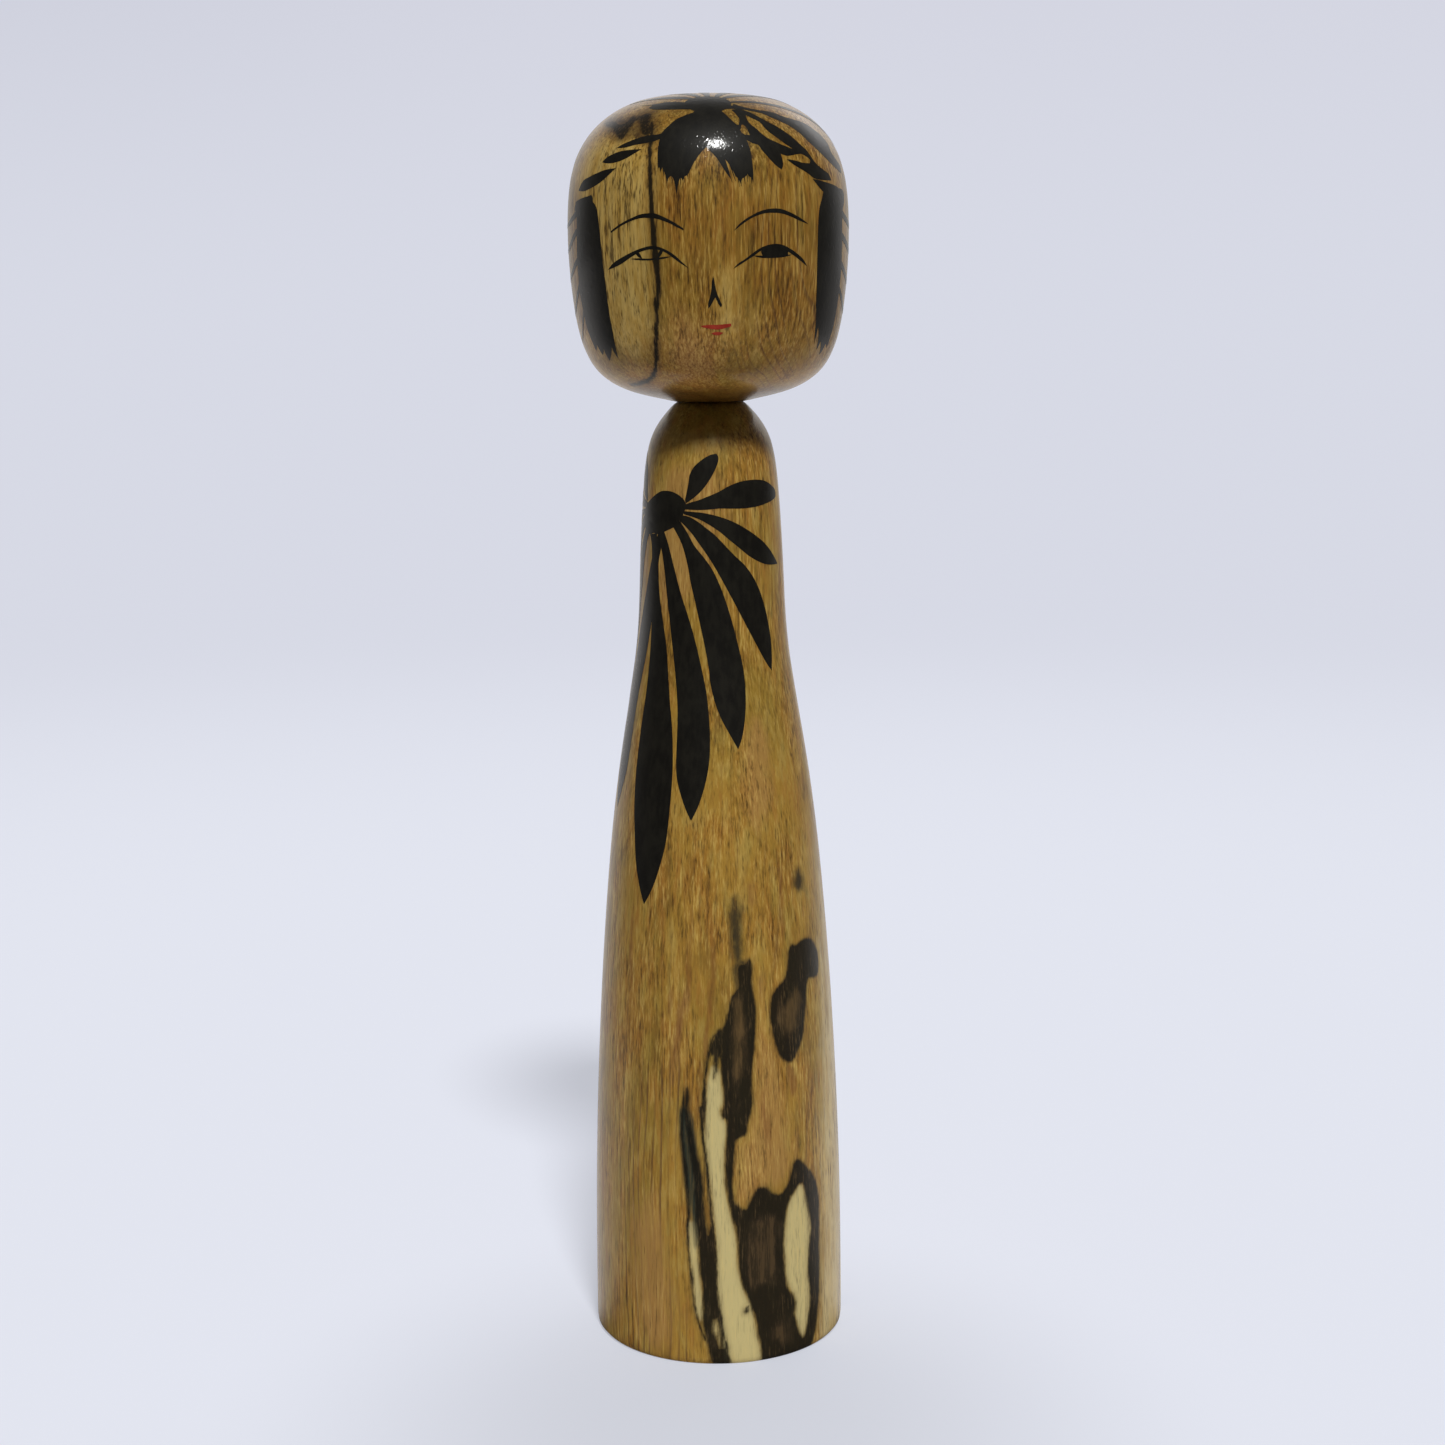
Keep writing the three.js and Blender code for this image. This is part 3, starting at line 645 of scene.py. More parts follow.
    # painted light and shade by height: between lo and hi the colour is multiplied by a factor, fully from full to
    # full2
    for lo, full, full2, hi, light_factor in has.get("painted_light_and_shade_bands", ()):
        z = g.n("ShaderNodeSeparateXYZ", i0=tc).outputs[2]
        k = g.math("MULTIPLY", g.ramp01(z, lo / 1000, full / 1000), g.ramp01(z, hi / 1000, full2 / 1000))
        col = g.mix(k, col, g.mix(1.0, col, light_factor, "MULTIPLY"))
    if has.get("tone"):
        col = g.mix(1.0, col, has["tone"], "MULTIPLY")
    rough = g.lerp(g.math("ADD", f2, g.math("MULTIPLY", pore, 0.3)), 0.36, 0.55)
    bump1 = g.math("ADD", g.math("MULTIPLY", f3, 0.6), g.math("MULTIPLY", pore, -1.0))
    bump1 = g.math("ADD", bump1, g.math("MULTIPLY", f2, 0.5))
    b1 = g.n("ShaderNodeBump", Strength=0.35, Distance=0.00002, Height=bump1)
    bs = g.n("ShaderNodeBsdfPrincipled", Base_Color=col, Roughness=rough, Normal=b1.outputs[0])
    varnish(g, bs, tc)
    out = g.n("ShaderNodeOutputMaterial", Surface=bs.outputs[0])
    return mat


def varnish(g, bs, tc, weight=0.60, rough=0.14):
    """The clear finish over wood and paint alike: thin gloss coat with a slight ripple and fine specks."""
    Pm = g.vec("MULTIPLY", tc, (1000, 1000, 1000))
    peel = g.noise(g.vec("MULTIPLY", Pm, (2.1, 2.1, 1.5)), 1.0, 2.0, 0.6)
    fine = g.noise(g.vec("MULTIPLY", Pm, (4.6, 4.6, 3.2)), 1.0, 2.0, 0.6)
    speck = g.noise(g.vec("MULTIPLY", Pm, (2.1, 2.1, 1.7)), 1.0, 0.0, 0.5)
    h = g.math("ADD", g.math("MULTIPLY", peel, 0.24), g.math("MULTIPLY", fine, 0.05))
    h = g.math("ADD", h, g.math("MULTIPLY", g.ramp01(speck, 0.54, 0.80), 0.44))
    b = g.n("ShaderNodeBump", Strength=1.0, Distance=0.000040, Height=h)
    g.set(bs, "Coat Normal", b.outputs[0])
    bs.inputs["Coat Weight"].default_value = weight
    bs.inputs["Coat Roughness"].default_value = rough
    bs.inputs["Coat IOR"].default_value = 1.46
    bs.inputs["Specular IOR Level"].default_value = 0.12


def paint(name, thin, thick, edge):
    mat = bpy.data.materials.new(name)
    g = Nodes(mat)
    tc = g.n("ShaderNodeTexCoord").outputs["Object"]
    P = g.vec("MULTIPLY", tc, (1000, 1000, 1000))
    brush = g.noise(g.vec("MULTIPLY", P, (1.2, 1.2, 0.35)), 1.0, 4.0, 0.6)
    pool = g.noise(g.vec("MULTIPLY", P, (0.35, 0.35, 0.25)), 1.0, 3.0, 0.6)
    grain = g.noise(g.vec("MULTIPLY", P, (5.5, 5.5, 0.7)), 1.0, 2.0, 0.55)
    f = g.math("ADD", g.math("MULTIPLY", brush, 0.5), g.math("MULTIPLY", pool, 0.5))
    col = g.mix(g.ramp01(f, 0.38, 0.62), thick, thin)
    col = g.mix(g.math("MULTIPLY", g.ramp01(grain, 0.60, 0.75), edge), col, g.mix(0.5, col, thin))
    rough = g.lerp(f, 0.42, 0.62)
    b1 = g.n("ShaderNodeBump", Strength=0.3, Distance=0.00002, Height=g.math("ADD", grain, g.math("MULTIPLY", brush, 0.5)))
    bs = g.n("ShaderNodeBsdfPrincipled", Base_Color=col, Roughness=rough, Normal=b1.outputs[0])
    varnish(g, bs, tc, 0.54, 0.125)
    g.n("ShaderNodeOutputMaterial", Surface=bs.outputs[0])
    return mat


m_body = wood("spalted_wood_body", (-64.0, 9.0), 0.72, 0.0, {"black": True, "lines": ("l1", "l2", "l3", "l4", "l5"), "rag": 0.7, "core": True, "cream": True, "pink": True, "soft": True, "red": True,
                                                       "rings": True, "teal": True, "gold": True, "gold_colours": ((0.58, 0.47, 0.240), (0.50, 0.37, 0.155)),
                                                       # painted shade: the shoulder just under the head, 173 to 184 mm,
                                                       # is darker and bluer
                                                       "painted_light_and_shade_bands": ((173.4, 177.7, 178, 184, (0.76, 0.75, 0.90)),)})
m_head = wood("spalted_wood_head", (-52.0, 12.0), 1.15, 1.0, {"black": True, "lines": ("l1", "l2", "l3"), "rag": 0.3, "soft": True, "rings": True, "gold": True, "pink": True,
                                                          # the underside below 188.4 mm, fully below 186.2 mm, is
                                                          # darkened as painted shade
                                                          "soft_colour": (0.060, 0.036, 0.018), "under": (188.4, 186.2), "contrast": (0.80, 1.30), "pores": 0.42, "dark": (-0.26, 0.20), "line_add": 0.07, "ring_show": 0.48, "olive": 0.85, "light": 0.46,
                                                          # painted shade darkens the crown above 230 mm; painted light
                                                          # makes the chin lighter and bluer between 186 and 203 mm
                                                          "tone": (0.80, 0.735, 0.665), "painted_light_and_shade_bands": ((230, 240, 250, 251, (0.80, 0.80, 0.82)), (186, 190, 195, 203, (1.20, 1.23, 1.42)))})
m_ink = paint("brushed_black_ink", (0.011, 0.010, 0.007), (0.0055, 0.005, 0.0038), 0.8)
m_red = paint("brushed_red_pigment", (0.36, 0.040, 0.020), (0.27, 0.022, 0.012), 0.8)
body.data.materials.append(m_body)
head.data.materials.append(m_head)

# ---------------------------------------------------------------- painted marks
# Each stroke is a list of runs: smooth inside a run, with a corner where two runs meet.
HEAD_STROKES = {
    "fore": [
        [(8.0, 236.98), (9.7, 237.84), (5.5, 238.44), (-3.9, 238.37), (-7.1, 237.88), (-6.8, 236.89), (-11.4, 236.2), (-15, 235.53), (-17.7, 234.44), (-20.1, 233.28), (-20.7, 231.83), (-20.7, 229.85), (-19.9, 226.51)],
        [(-19.9, 226.51), (-19.47, 227.0), (-18.87, 225.91)],
        [(-18.87, 225.91), (-18.49, 226.51), (-18.08, 226.91)],
        [(-18.08, 226.91), (-16.91, 225.85), (-16.23, 224.74), (-15.88, 223.72)],
        [(-15.88, 223.72), (-15.56, 224.67), (-15.01, 225.2), (-13.92, 225.34)],
        [(-13.92, 225.34), (-13.0, 224.45), (-12.38, 223.12), (-11.86, 221.79)],
        [(-11.86, 221.79), (-11.52, 223.36), (-11.12, 224.37), (-10.57, 225.06)],
        [(-10.57, 225.06), (-9.99, 224.83), (-9.47, 224.35)],
        [(-9.47, 224.35), (-9.2, 224.92), (-8.71, 225.29)],
        [(-8.71, 225.29), (-7.72, 225.47), (-6.6, 226.38), (-5.2, 227.64), (-3.64, 228.68), (-1.97, 229.63), (-0.27, 230.33)],
        [(-0.27, 230.33), (2.06, 229.29), (3.83, 228.46), (5.55, 227.21), (7.32, 225.91), (9.16, 224.77)],
        [(9.16, 224.77), (8.81, 225.78), (8.06, 227.05), (7.23, 228.2)],
        [(7.23, 228.2), (8.6, 227.43), (10.08, 226.32), (11.12, 225.15)],
        [(11.12, 225.15), (12.17, 224.78), (12.77, 224.27), (13.31, 223.7)],
        [(13.31, 223.7), (13.51, 224.4), (13.99, 224.84)],
        [(13.99, 224.84), (14.73, 224.97), (15.5, 225.29), (16.06, 225.67)],
        [(16.06, 225.67), (16.52, 225.23), (17.1, 225.11)],
        [(17.1, 225.11), (17.66, 224.86), (18.2, 224.1)],
        [(18.2, 224.1), (18.5, 225.94), (18.4, 227.89), (18.16, 229.84), (17.68, 230.83), (17.18, 231.77), (16.87, 232.57), (15.55, 233.04), (14.93, 233.64), (14.45, 234.29), (12.81, 234.89), (11.02, 235.74), (8.83, 236.69), (8.0, 236.98)],
    ],
    "r1": [
        [(13.25, 237.25), (14.88, 236.47), (15.89, 235.61), (14.95, 234.43)],
        [(14.95, 234.43), (12.96, 234.03), (14.12, 233.41), (15.54, 233.69)],
        [(15.54, 233.69), (16.46, 234.44), (17.79, 234.17), (18.68, 233.25), (18.96, 232.52)],
        [(18.96, 232.52), (16.86, 232.55), (16.37, 231.97), (17.29, 231.64)],
        [(17.29, 231.64), (19.57, 231.09), (21.96, 230.77), (23.27, 229.88), (24.92, 229.0), (26.83, 228.02), (28.84, 227.15), (31.09, 226.49)],
        [(31.09, 226.49), (32.13, 227.3), (32.2, 228.19), (31.82, 229.31)],
        [(31.82, 229.31), (35.09, 228.99), (39.23, 229.28), (42.91, 229.48)],
        [(42.91, 229.48), (45.6, 229.99), (43.08, 230.5), (38.6, 230.29)],
        [(38.6, 230.29), (33.79, 230.91), (30.69, 231.43), (27.69, 231.96), (25.21, 232.73), (22.95, 233.75), (20.41, 234.77), (19.82, 235.95)],
        [(19.82, 235.95), (20.15, 236.68), (18.32, 237.4), (13.25, 237.25)],
    ],
    "r3": [
        [(17.78, 237.52), (22.59, 236.92), (25.8, 236.25), (29.39, 235.39), (33.64, 234.46), (37.8, 233.37), (40.86, 232.39), (43.85, 231.2), (46.64, 230.23), (48.18, 229.36), (49.76, 228.38), (51.68, 227.64), (55.58, 226.82), (59.52, 225.96), (60.49, 225.02)],
        [(60.49, 225.02), (54.42, 224.96), (50.97, 225.04), (47.82, 225.21), (44.42, 226.04), (40.53, 226.8), (36.92, 227.59), (34.44, 228.36)],
        [(34.44, 228.36), (38.55, 228.2), (42.49, 227.88), (46.52, 227.82)],
        [(46.52, 227.82), (47.38, 228.45), (44.88, 229.16), (42.87, 229.44)],
        [(42.87, 229.44), (39.65, 229.88), (37.07, 230.06), (38.62, 230.31)],
        [(38.62, 230.31), (35.31, 231.16), (33.25, 231.81), (31.27, 232.46), (28.78, 233.23), (27.13, 234.14), (26.07, 234.95), (22.95, 235.67), (20.04, 236.31)],
        [(20.04, 236.31), (18.42, 236.66), (17.78, 237.52)],
    ],
    "r4": [
        [(16.34, 238.53), (18.77, 238.16), (21.91, 237.81), (28.67, 237.38), (36.05, 237.12), (42.49, 236.39), (48.4, 235.92), (55.2, 235.5), (59.47, 234.79), (63.61, 233.85), (66.7, 232.79), (68.12, 231.91), (67.81, 230.3), (71.53, 229.03), (75.22, 227.99), (73.83, 226.63)],
        [(73.83, 226.63), (66.81, 227.54), (60.82, 228.75), (55.41, 230.2), (51.56, 231.36), (48.97, 232.45), (46.5, 233.43), (42.85, 234.51), (39.34, 235.15), (34.66, 235.89), (30.18, 236.67), (25.67, 237.03), (21.04, 237.3), (15.06, 237.63)],
        [(15.06, 237.63), (14.88, 238.06), (16.34, 238.53)],
    ],
    "rleaf": [
        [(47, 225.07), (51.7, 224.88), (56.7, 224.58), (61.6, 224.33), (67.6, 223.75), (73.7, 222.8)],
        [(73.7, 222.8), (65.6, 222.26), (58.1, 222.15), (54.1, 222.66), (50.3, 223.76), (47, 225.07)],
    ],
    "l0": [
        [(-9, 237.38), (-17.4, 237.47), (-24.6, 237.54), (-30.6, 237.69), (-35.5, 238.11)],
        [(-35.5, 238.11), (-33.4, 238.74), (-27.9, 239.03), (-20.9, 239.02), (-13.7, 238.64), (-9.8, 238.41)],
    ],
    "l1": [
        [(-18.5, 233.44), (-21.5, 232.9), (-25.6, 232.79), (-30.1, 232.51), (-35.4, 231.9), (-39.3, 231.34), (-41.9, 230.79)],
        [(-41.9, 230.79), (-37.1, 230.78), (-32.6, 231.11), (-27.3, 231.35), (-23.2, 231.64), (-20.1, 232.09), (-17.6, 232.51)],
    ],
    "l2": [
        [(-28.2, 230.31), (-32.1, 230.33), (-36.2, 230.27), (-39.9, 230.09), (-43.6, 229.68), (-46.6, 229.18), (-48.9, 228.43)],
        [(-48.9, 228.43), (-45.6, 228.17), (-41.4, 228.16), (-37.8, 228.47), (-34.4, 228.98), (-31.7, 229.59), (-28.2, 230.31)],
    ],
    "l3": [
        [(-39.7, 227.19), (-42.6, 227.12), (-46.1, 226.99), (-51, 226.54), (-56.6, 225.96), (-61.4, 225.37), (-64.9, 223.73)],
        [(-64.9, 223.73), (-59.6, 223.53), (-54.9, 223.88), (-50.8, 224.37), (-47.1, 225.05), (-43.9, 225.94), (-39.7, 227.19)],
    ],
    "lockL": [
        [(-67.1, 221.78), (-61.9, 222.25), (-56.8, 222.49), (-53.1, 222.55), (-52.3, 221.43)],
        [(-52.3, 221.43), (-49.7, 220.3), (-48.6, 218.5), (-47.8, 216.17), (-47.1, 212.76), (-46.5, 209.18), (-46, 205.23), (-45.7, 200.91), (-45.5, 197.28), (-46.7, 193.21)],
        [(-46.7, 193.21), (-47.5, 193.71), (-48.3, 194.55), (-48.5, 195.28)],
        [(-48.5, 195.28), (-50.4, 194.09), (-54, 192.74)],
        [(-54, 192.74), (-54.7, 193.44), (-55.1, 194.46), (-54.9, 195.19)],
        [(-54.9, 195.19), (-55.9, 194.46), (-58, 193.77)],
        [(-58, 193.77), (-59.2, 194.82), (-59.9, 195.74)],
        [(-59.9, 195.74), (-61.4, 195.04), (-62.9, 194.63)],
        [(-62.9, 194.63), (-63.9, 196.39), (-65.3, 198.23), (-65.9, 200.26), (-66.6, 202.65), (-67.4, 205.22), (-67.2, 207.78), (-66.9, 210.88), (-66.3, 213.78), (-65.9, 216.67), (-66, 219.39), (-68.2, 220.52), (-67.1, 221.78)],
    ],
    "lockR": [
        [(53.4, 223.1), (52.1, 221.73), (50.4, 220.28), (49.3, 218.12), (48.8, 214.19), (49, 209.19), (49.7, 205.24), (50.1, 202.54)],
        [(50.1, 202.54), (51.4, 200.19), (52.3, 197.65), (53.8, 195.37)],
        [(53.8, 195.37), (53.8, 196.92), (54, 198.64)],
        [(54, 198.64), (55.6, 196.91), (57.4, 194.44)],
        [(57.4, 194.44), (58.3, 195.17), (58.7, 195.99)],
        [(58.7, 195.99), (60.3, 194.88), (62.1, 193.5)],
        [(62.1, 193.5), (63.8, 194.31), (64.4, 195.49)],
        [(64.4, 195.49), (66.1, 195.15), (67.5, 194.67)],
        [(67.5, 194.67), (67.9, 196.32), (68.6, 198.35), (69, 200.55), (69.5, 203.12), (69.6, 206.05), (69.5, 209.34), (69.3, 212.99), (69.2, 216.26), (69.8, 219.54), (73, 221.42), (73.6, 223.07), (64.2, 223.77), (57.8, 223.45), (53.4, 223.1)],
    ],
}
FACE_STROKES = {
    "browR": [
        [(10.2, 215.63), (11.9, 216.63), (14.5, 217.59), (17.8, 218.47), (21.5, 219.2), (25.4, 219.55), (29.8, 219.51), (34.0, 218.95), (38.3, 218.17), (43.4, 216.92)],
        [(43.4, 216.92), (38.8, 217.51), (34.4, 218.2), (30.2, 218.71), (26.2, 218.83), (22.3, 218.68), (19.0, 218.23), (15.7, 217.48), (12.9, 216.6), (10.2, 215.63)],
    ],
    "lidL": [
        [(-43.8, 209.19), (-41.5, 210.11), (-38.2, 210.9), (-34.6, 211.57), (-30.7, 212.27), (-26.5, 212.86), (-22.6, 213.17), (-19.3, 212.96), (-16.5, 212.44), (-13.7, 211.69), (-10.6, 210.43), (-7.6, 209.12)],
        [(-7.6, 209.12), (-10.6, 209.98), (-13.5, 210.95), (-16.1, 211.81), (-19.3, 212.43), (-22.7, 212.59), (-26.2, 212.33), (-29.8, 211.73), (-32.7, 211.05), (-36.5, 210.17), (-40.5, 209.54), (-43.8, 209.19)],
    ],
    "underL": [
        [(-31.8, 210.99), (-28.6, 210.76), (-24.6, 210.65), (-20.3, 210.72), (-17, 210.94), (-14.1, 211.27)],
        [(-14.1, 211.27), (-16.9, 211.22), (-20.7, 211.04), (-24.5, 210.97), (-28.5, 211.06), (-31.8, 210.99)],
    ],
    "arcL1": [
        [(-29.5, 211.9), (-28.5, 211.36), (-26.7, 210.99)],
        [(-26.7, 210.99), (-27.3, 211.6), (-28.1, 212.07), (-29.5, 211.9)],
    ],
    "arcL2": [
        [(-17.6, 212.31), (-18.4, 211.62), (-19.7, 211)],
        [(-19.7, 211), (-20.1, 211.04), (-19.9, 211.63), (-18.8, 212.39), (-17.6, 212.31)],
    ],
    "lidR": [
        [(9.8, 208.94), (11.7, 209.85), (14.5, 210.65), (17.3, 211.6), (20.2, 212.48), (23.6, 213.12), (27, 213.37), (30.6, 213.18), (33.9, 212.59), (37.4, 211.72), (40.7, 210.71), (43.1, 209.4)],
        [(43.1, 209.4), (39.1, 210.49), (35.5, 211.43), (32.5, 212.12), (29.7, 212.68), (27, 212.84), (24, 212.7), (21, 212.16), (18.6, 211.39), (16.1, 210.69), (12.9, 209.78), (9.8, 208.94)],
    ],
    "pupR": [
        [(21, 212.09), (23.6, 212.94), (27, 213.23), (30.2, 213), (32.8, 212.3), (33, 211.49), (31.2, 211.13), (27.1, 210.98), (23.2, 211.01), (21.7, 211.28), (21, 212.09)],
    ],
    "underR": [
        [(17.6, 211.32), (20.7, 210.93), (25.8, 210.87), (31.2, 211.06), (35.2, 211.5)],
        [(35.2, 211.5), (31.2, 211.45), (25.8, 211.26), (20.7, 211.28), (17.6, 211.32)],
    ],
    "nose": [
        [(1.9, 207.74), (2.4, 206.86), (2.9, 205.62), (3.6, 204.46), (4.6, 203.5), (5.4, 202.54), (4.9, 202.26)],
        [(4.9, 202.26), (3.8, 202.97), (2.8, 203.97)],
        [(2.8, 203.97), (1.8, 203.26), (1, 202.6), (-0.1, 202)],
        [(-0.1, 202), (-0.1, 202.99), (0.6, 204.05), (1.2, 205.28), (1.4, 206.51), (1.9, 207.74)],
    ],
}
LIPS_STROKES = {
    "upper": [
        [(-3.3, 198.95), (0.11, 199.1), (3.42, 199.1), (6.32, 199.2), (9.31, 199.32)],
        [(9.31, 199.32), (9.34, 198.84)],
        [(9.34, 198.84), (6.75, 198.50), (3.63, 198.28), (0.1, 198.46), (-2.6, 198.72), (-3.3, 198.95)],
    ],
    "lower": [
        [(1.1, 197.63), (3.43, 197.83), (6.1, 197.70)],
        [(6.1, 197.70), (5.12, 197.38), (3.43, 197.24), (1.92, 197.40), (1.1, 197.63)],
    ],
}
BODY_STROKES = {
    "eye": [
        [(-23.1, 166.93), (-28.2, 167.73), (-34.2, 168.24), (-40.6, 168.36), (-46.4, 168.21), (-52.8, 167.56), (-61.1, 166.48), (-69.5, 165.14), (-73.2, 163.56), (-70.6, 161.7), (-64.2, 160.18), (-54.9, 159.99), (-45.9, 160.25), (-38.2, 160.92), (-31.4, 161.65), (-25.9, 162.9), (-22.1, 164.51), (-20.8, 165.82), (-23.1, 166.93)],
    ],
    "p1": [
        [(-21.7, 166.75), (-20.1, 168.44), (-18.8, 170.11), (-18, 171.42), (-14.7, 172.81), (-9.1, 173.96), (-1.7, 174.97), (5.2, 175.36)],
        [(5.2, 175.36), (7, 174.63), (6, 173.44), (2.9, 171.96), (-0.9, 170.49), (-6, 168.92), (-11.3, 167.71), (-16.9, 166.71), (-21.7, 166.01)],
    ],
    "p2": [
        [(-22.5, 165.82), (-17.3, 166.28), (-10.6, 166.71), (-0.6, 167.59), (6, 168.21), (14.5, 169.21), (23.5, 169.93), (33.2, 170.25), (43, 170.26), (53, 169.88), (62.2, 169), (69.9, 167.83), (69.9, 166.84), (63.3, 166.22), (52.3, 165.67), (40, 165.23), (28, 165.03), (16.5, 165.08), (6.6, 165.15), (-3.2, 164.95), (-12.2, 164.9), (-22.5, 165)],
    ],
    "p3": [
        [(-23.3, 164.69), (-15.6, 164.57), (-7.3, 164.4), (0.8, 164.01), (10.5, 163.34), (19.6, 162.44), (28.7, 161.26), (37.6, 159.92), (46, 158.55), (53.1, 157.13), (59.1, 155.68), (65.5, 153.97)],
        [(65.5, 153.97), (53.5, 154.04), (45, 154.44), (38.2, 155.12), (31.1, 156.06), (22.4, 157.71), (14.2, 159.32), (6.7, 160.82), (-0.9, 162.04), (-9.3, 163.13), (-23.3, 164.13)],
    ],
    "p4": [
        [(-25.1, 163.94), (-17.2, 163.56), (-9.7, 162.57), (-4.1, 161.56), (1.1, 160.62), (5.8, 159.55), (10.9, 158.21), (18.9, 156.2), (27.2, 154.3), (33.8, 152.24), (39.3, 149.87), (44.1, 146.93), (47.9, 143.41), (49.7, 140.31), (49.5, 137.07), (47.4, 133.97)],
        [(47.4, 133.97), (42.1, 135.84), (37.3, 138.03), (30.5, 141.2), (22.7, 144.92), (13.4, 149.29), (4.6, 153.3), (-1.9, 155.94), (-9, 158.38), (-17.1, 160.89), (-26.8, 162.99)],
    ],
    "p5": [
        [(-25.9, 162.81), (-19.7, 160.78), (-13.3, 158.18), (-6.6, 156.23), (0.1, 153.97), (5.7, 151.13), (10.9, 147.61), (15.1, 144.07), (19.4, 139.41), (22.5, 135.04), (23.1, 131.47), (22.5, 128.11), (20.9, 124.95), (18.4, 122.01), (15.5, 119.93)],
        [(15.5, 119.93), (10.7, 122.69), (5.5, 125.65), (1.4, 128.82), (-1.3, 131.9), (-2.8, 135.26), (-5.4, 139.01), (-8.4, 142.58), (-12.6, 147.28), (-16.6, 151.41), (-19.1, 154.6), (-24.3, 158.6), (-33.3, 162.01)],
    ],
    "p6": [
        [(-41.4, 160.8), (-36.9, 158.49), (-30.4, 153.75), (-24.3, 148.9), (-19, 145.26), (-14.3, 141.62), (-9.8, 137.31), (-6.5, 133.58), (-4.4, 130.79), (-3, 127.43), (-2.1, 123.7), (-2.1, 120.17), (-2.7, 117.37), (-4.2, 114.57), (-7.5, 110.7), (-10.4, 108.28), (-12.9, 106.64)],
        [(-12.9, 106.64), (-15.6, 108.37), (-18.5, 110.69), (-20.9, 112.9), (-22.5, 114.94), (-23.2, 117.55), (-23.5, 122.04), (-24.1, 126.89), (-25.6, 130.61), (-27.9, 134.52), (-32.4, 141.05), (-36.9, 148.19), (-41.4, 155.13), (-45.7, 158.86), (-48.8, 160.33)],
    ],
    "p7": [
        [(-49.6, 160.32), (-48.2, 157.12), (-46.9, 153.73), (-45.1, 148.81), (-40.8, 143.75), (-36.3, 138.71), (-33.6, 134.23), (-30.6, 129.03), (-27.5, 124.02), (-25.9, 119.74), (-25.2, 115.07), (-25.7, 109.41), (-27.4, 102.17), (-30.4, 97.68), (-34.5, 93.37), (-39.7, 89.91)],
        [(-39.7, 89.91), (-42.2, 91.94), (-44.6, 94.32), (-47.3, 97.65), (-49.8, 102.72), (-52.4, 108.17), (-53.7, 113.11), (-54.2, 117.49), (-54.1, 124.19), (-53.2, 130.33), (-53.4, 136.04), (-53.7, 141), (-54.3, 147.49), (-55.1, 153.2), (-56.2, 157.94), (-59.7, 160.16)],
    ],
}



class Sheet:
    """A flat chart of a turned surface, for laying paint on it."""

    def __init__(self, form, polar):
        self.f, self.polar = form, polar

    def to_plane(self, deg, z):
        deg, z = np.asarray(deg, float), np.asarray(z, float)
        s = self.f.s_of_z(z)
        if self.polar:  # distance from the crown along the surface
            rho = self.f.length - s
            return np.stack([rho * np.sin(np.radians(deg)), -rho * np.cos(np.radians(deg))], -1)
        return np.stack([deg * 0.34, s], -1)

    def from_plane(self, P):
        if self.polar:
            rho = np.hypot(P[:, 0], P[:, 1])
            return np.degrees(np.arctan2(P[:, 0], -P[:, 1])), self.f.length - rho
        return P[:, 0] / 0.34, P[:, 1]


def outline_of(chart, runs, step, plane=False):
    pts = []
    for run in runs:
        A = np.array(run, float)
        Q = A if plane else chart.to_plane(A[:, 0], A[:, 1])
        pts.append(smooth_run(Q, step)[:-1])
    return np.vstack(pts)


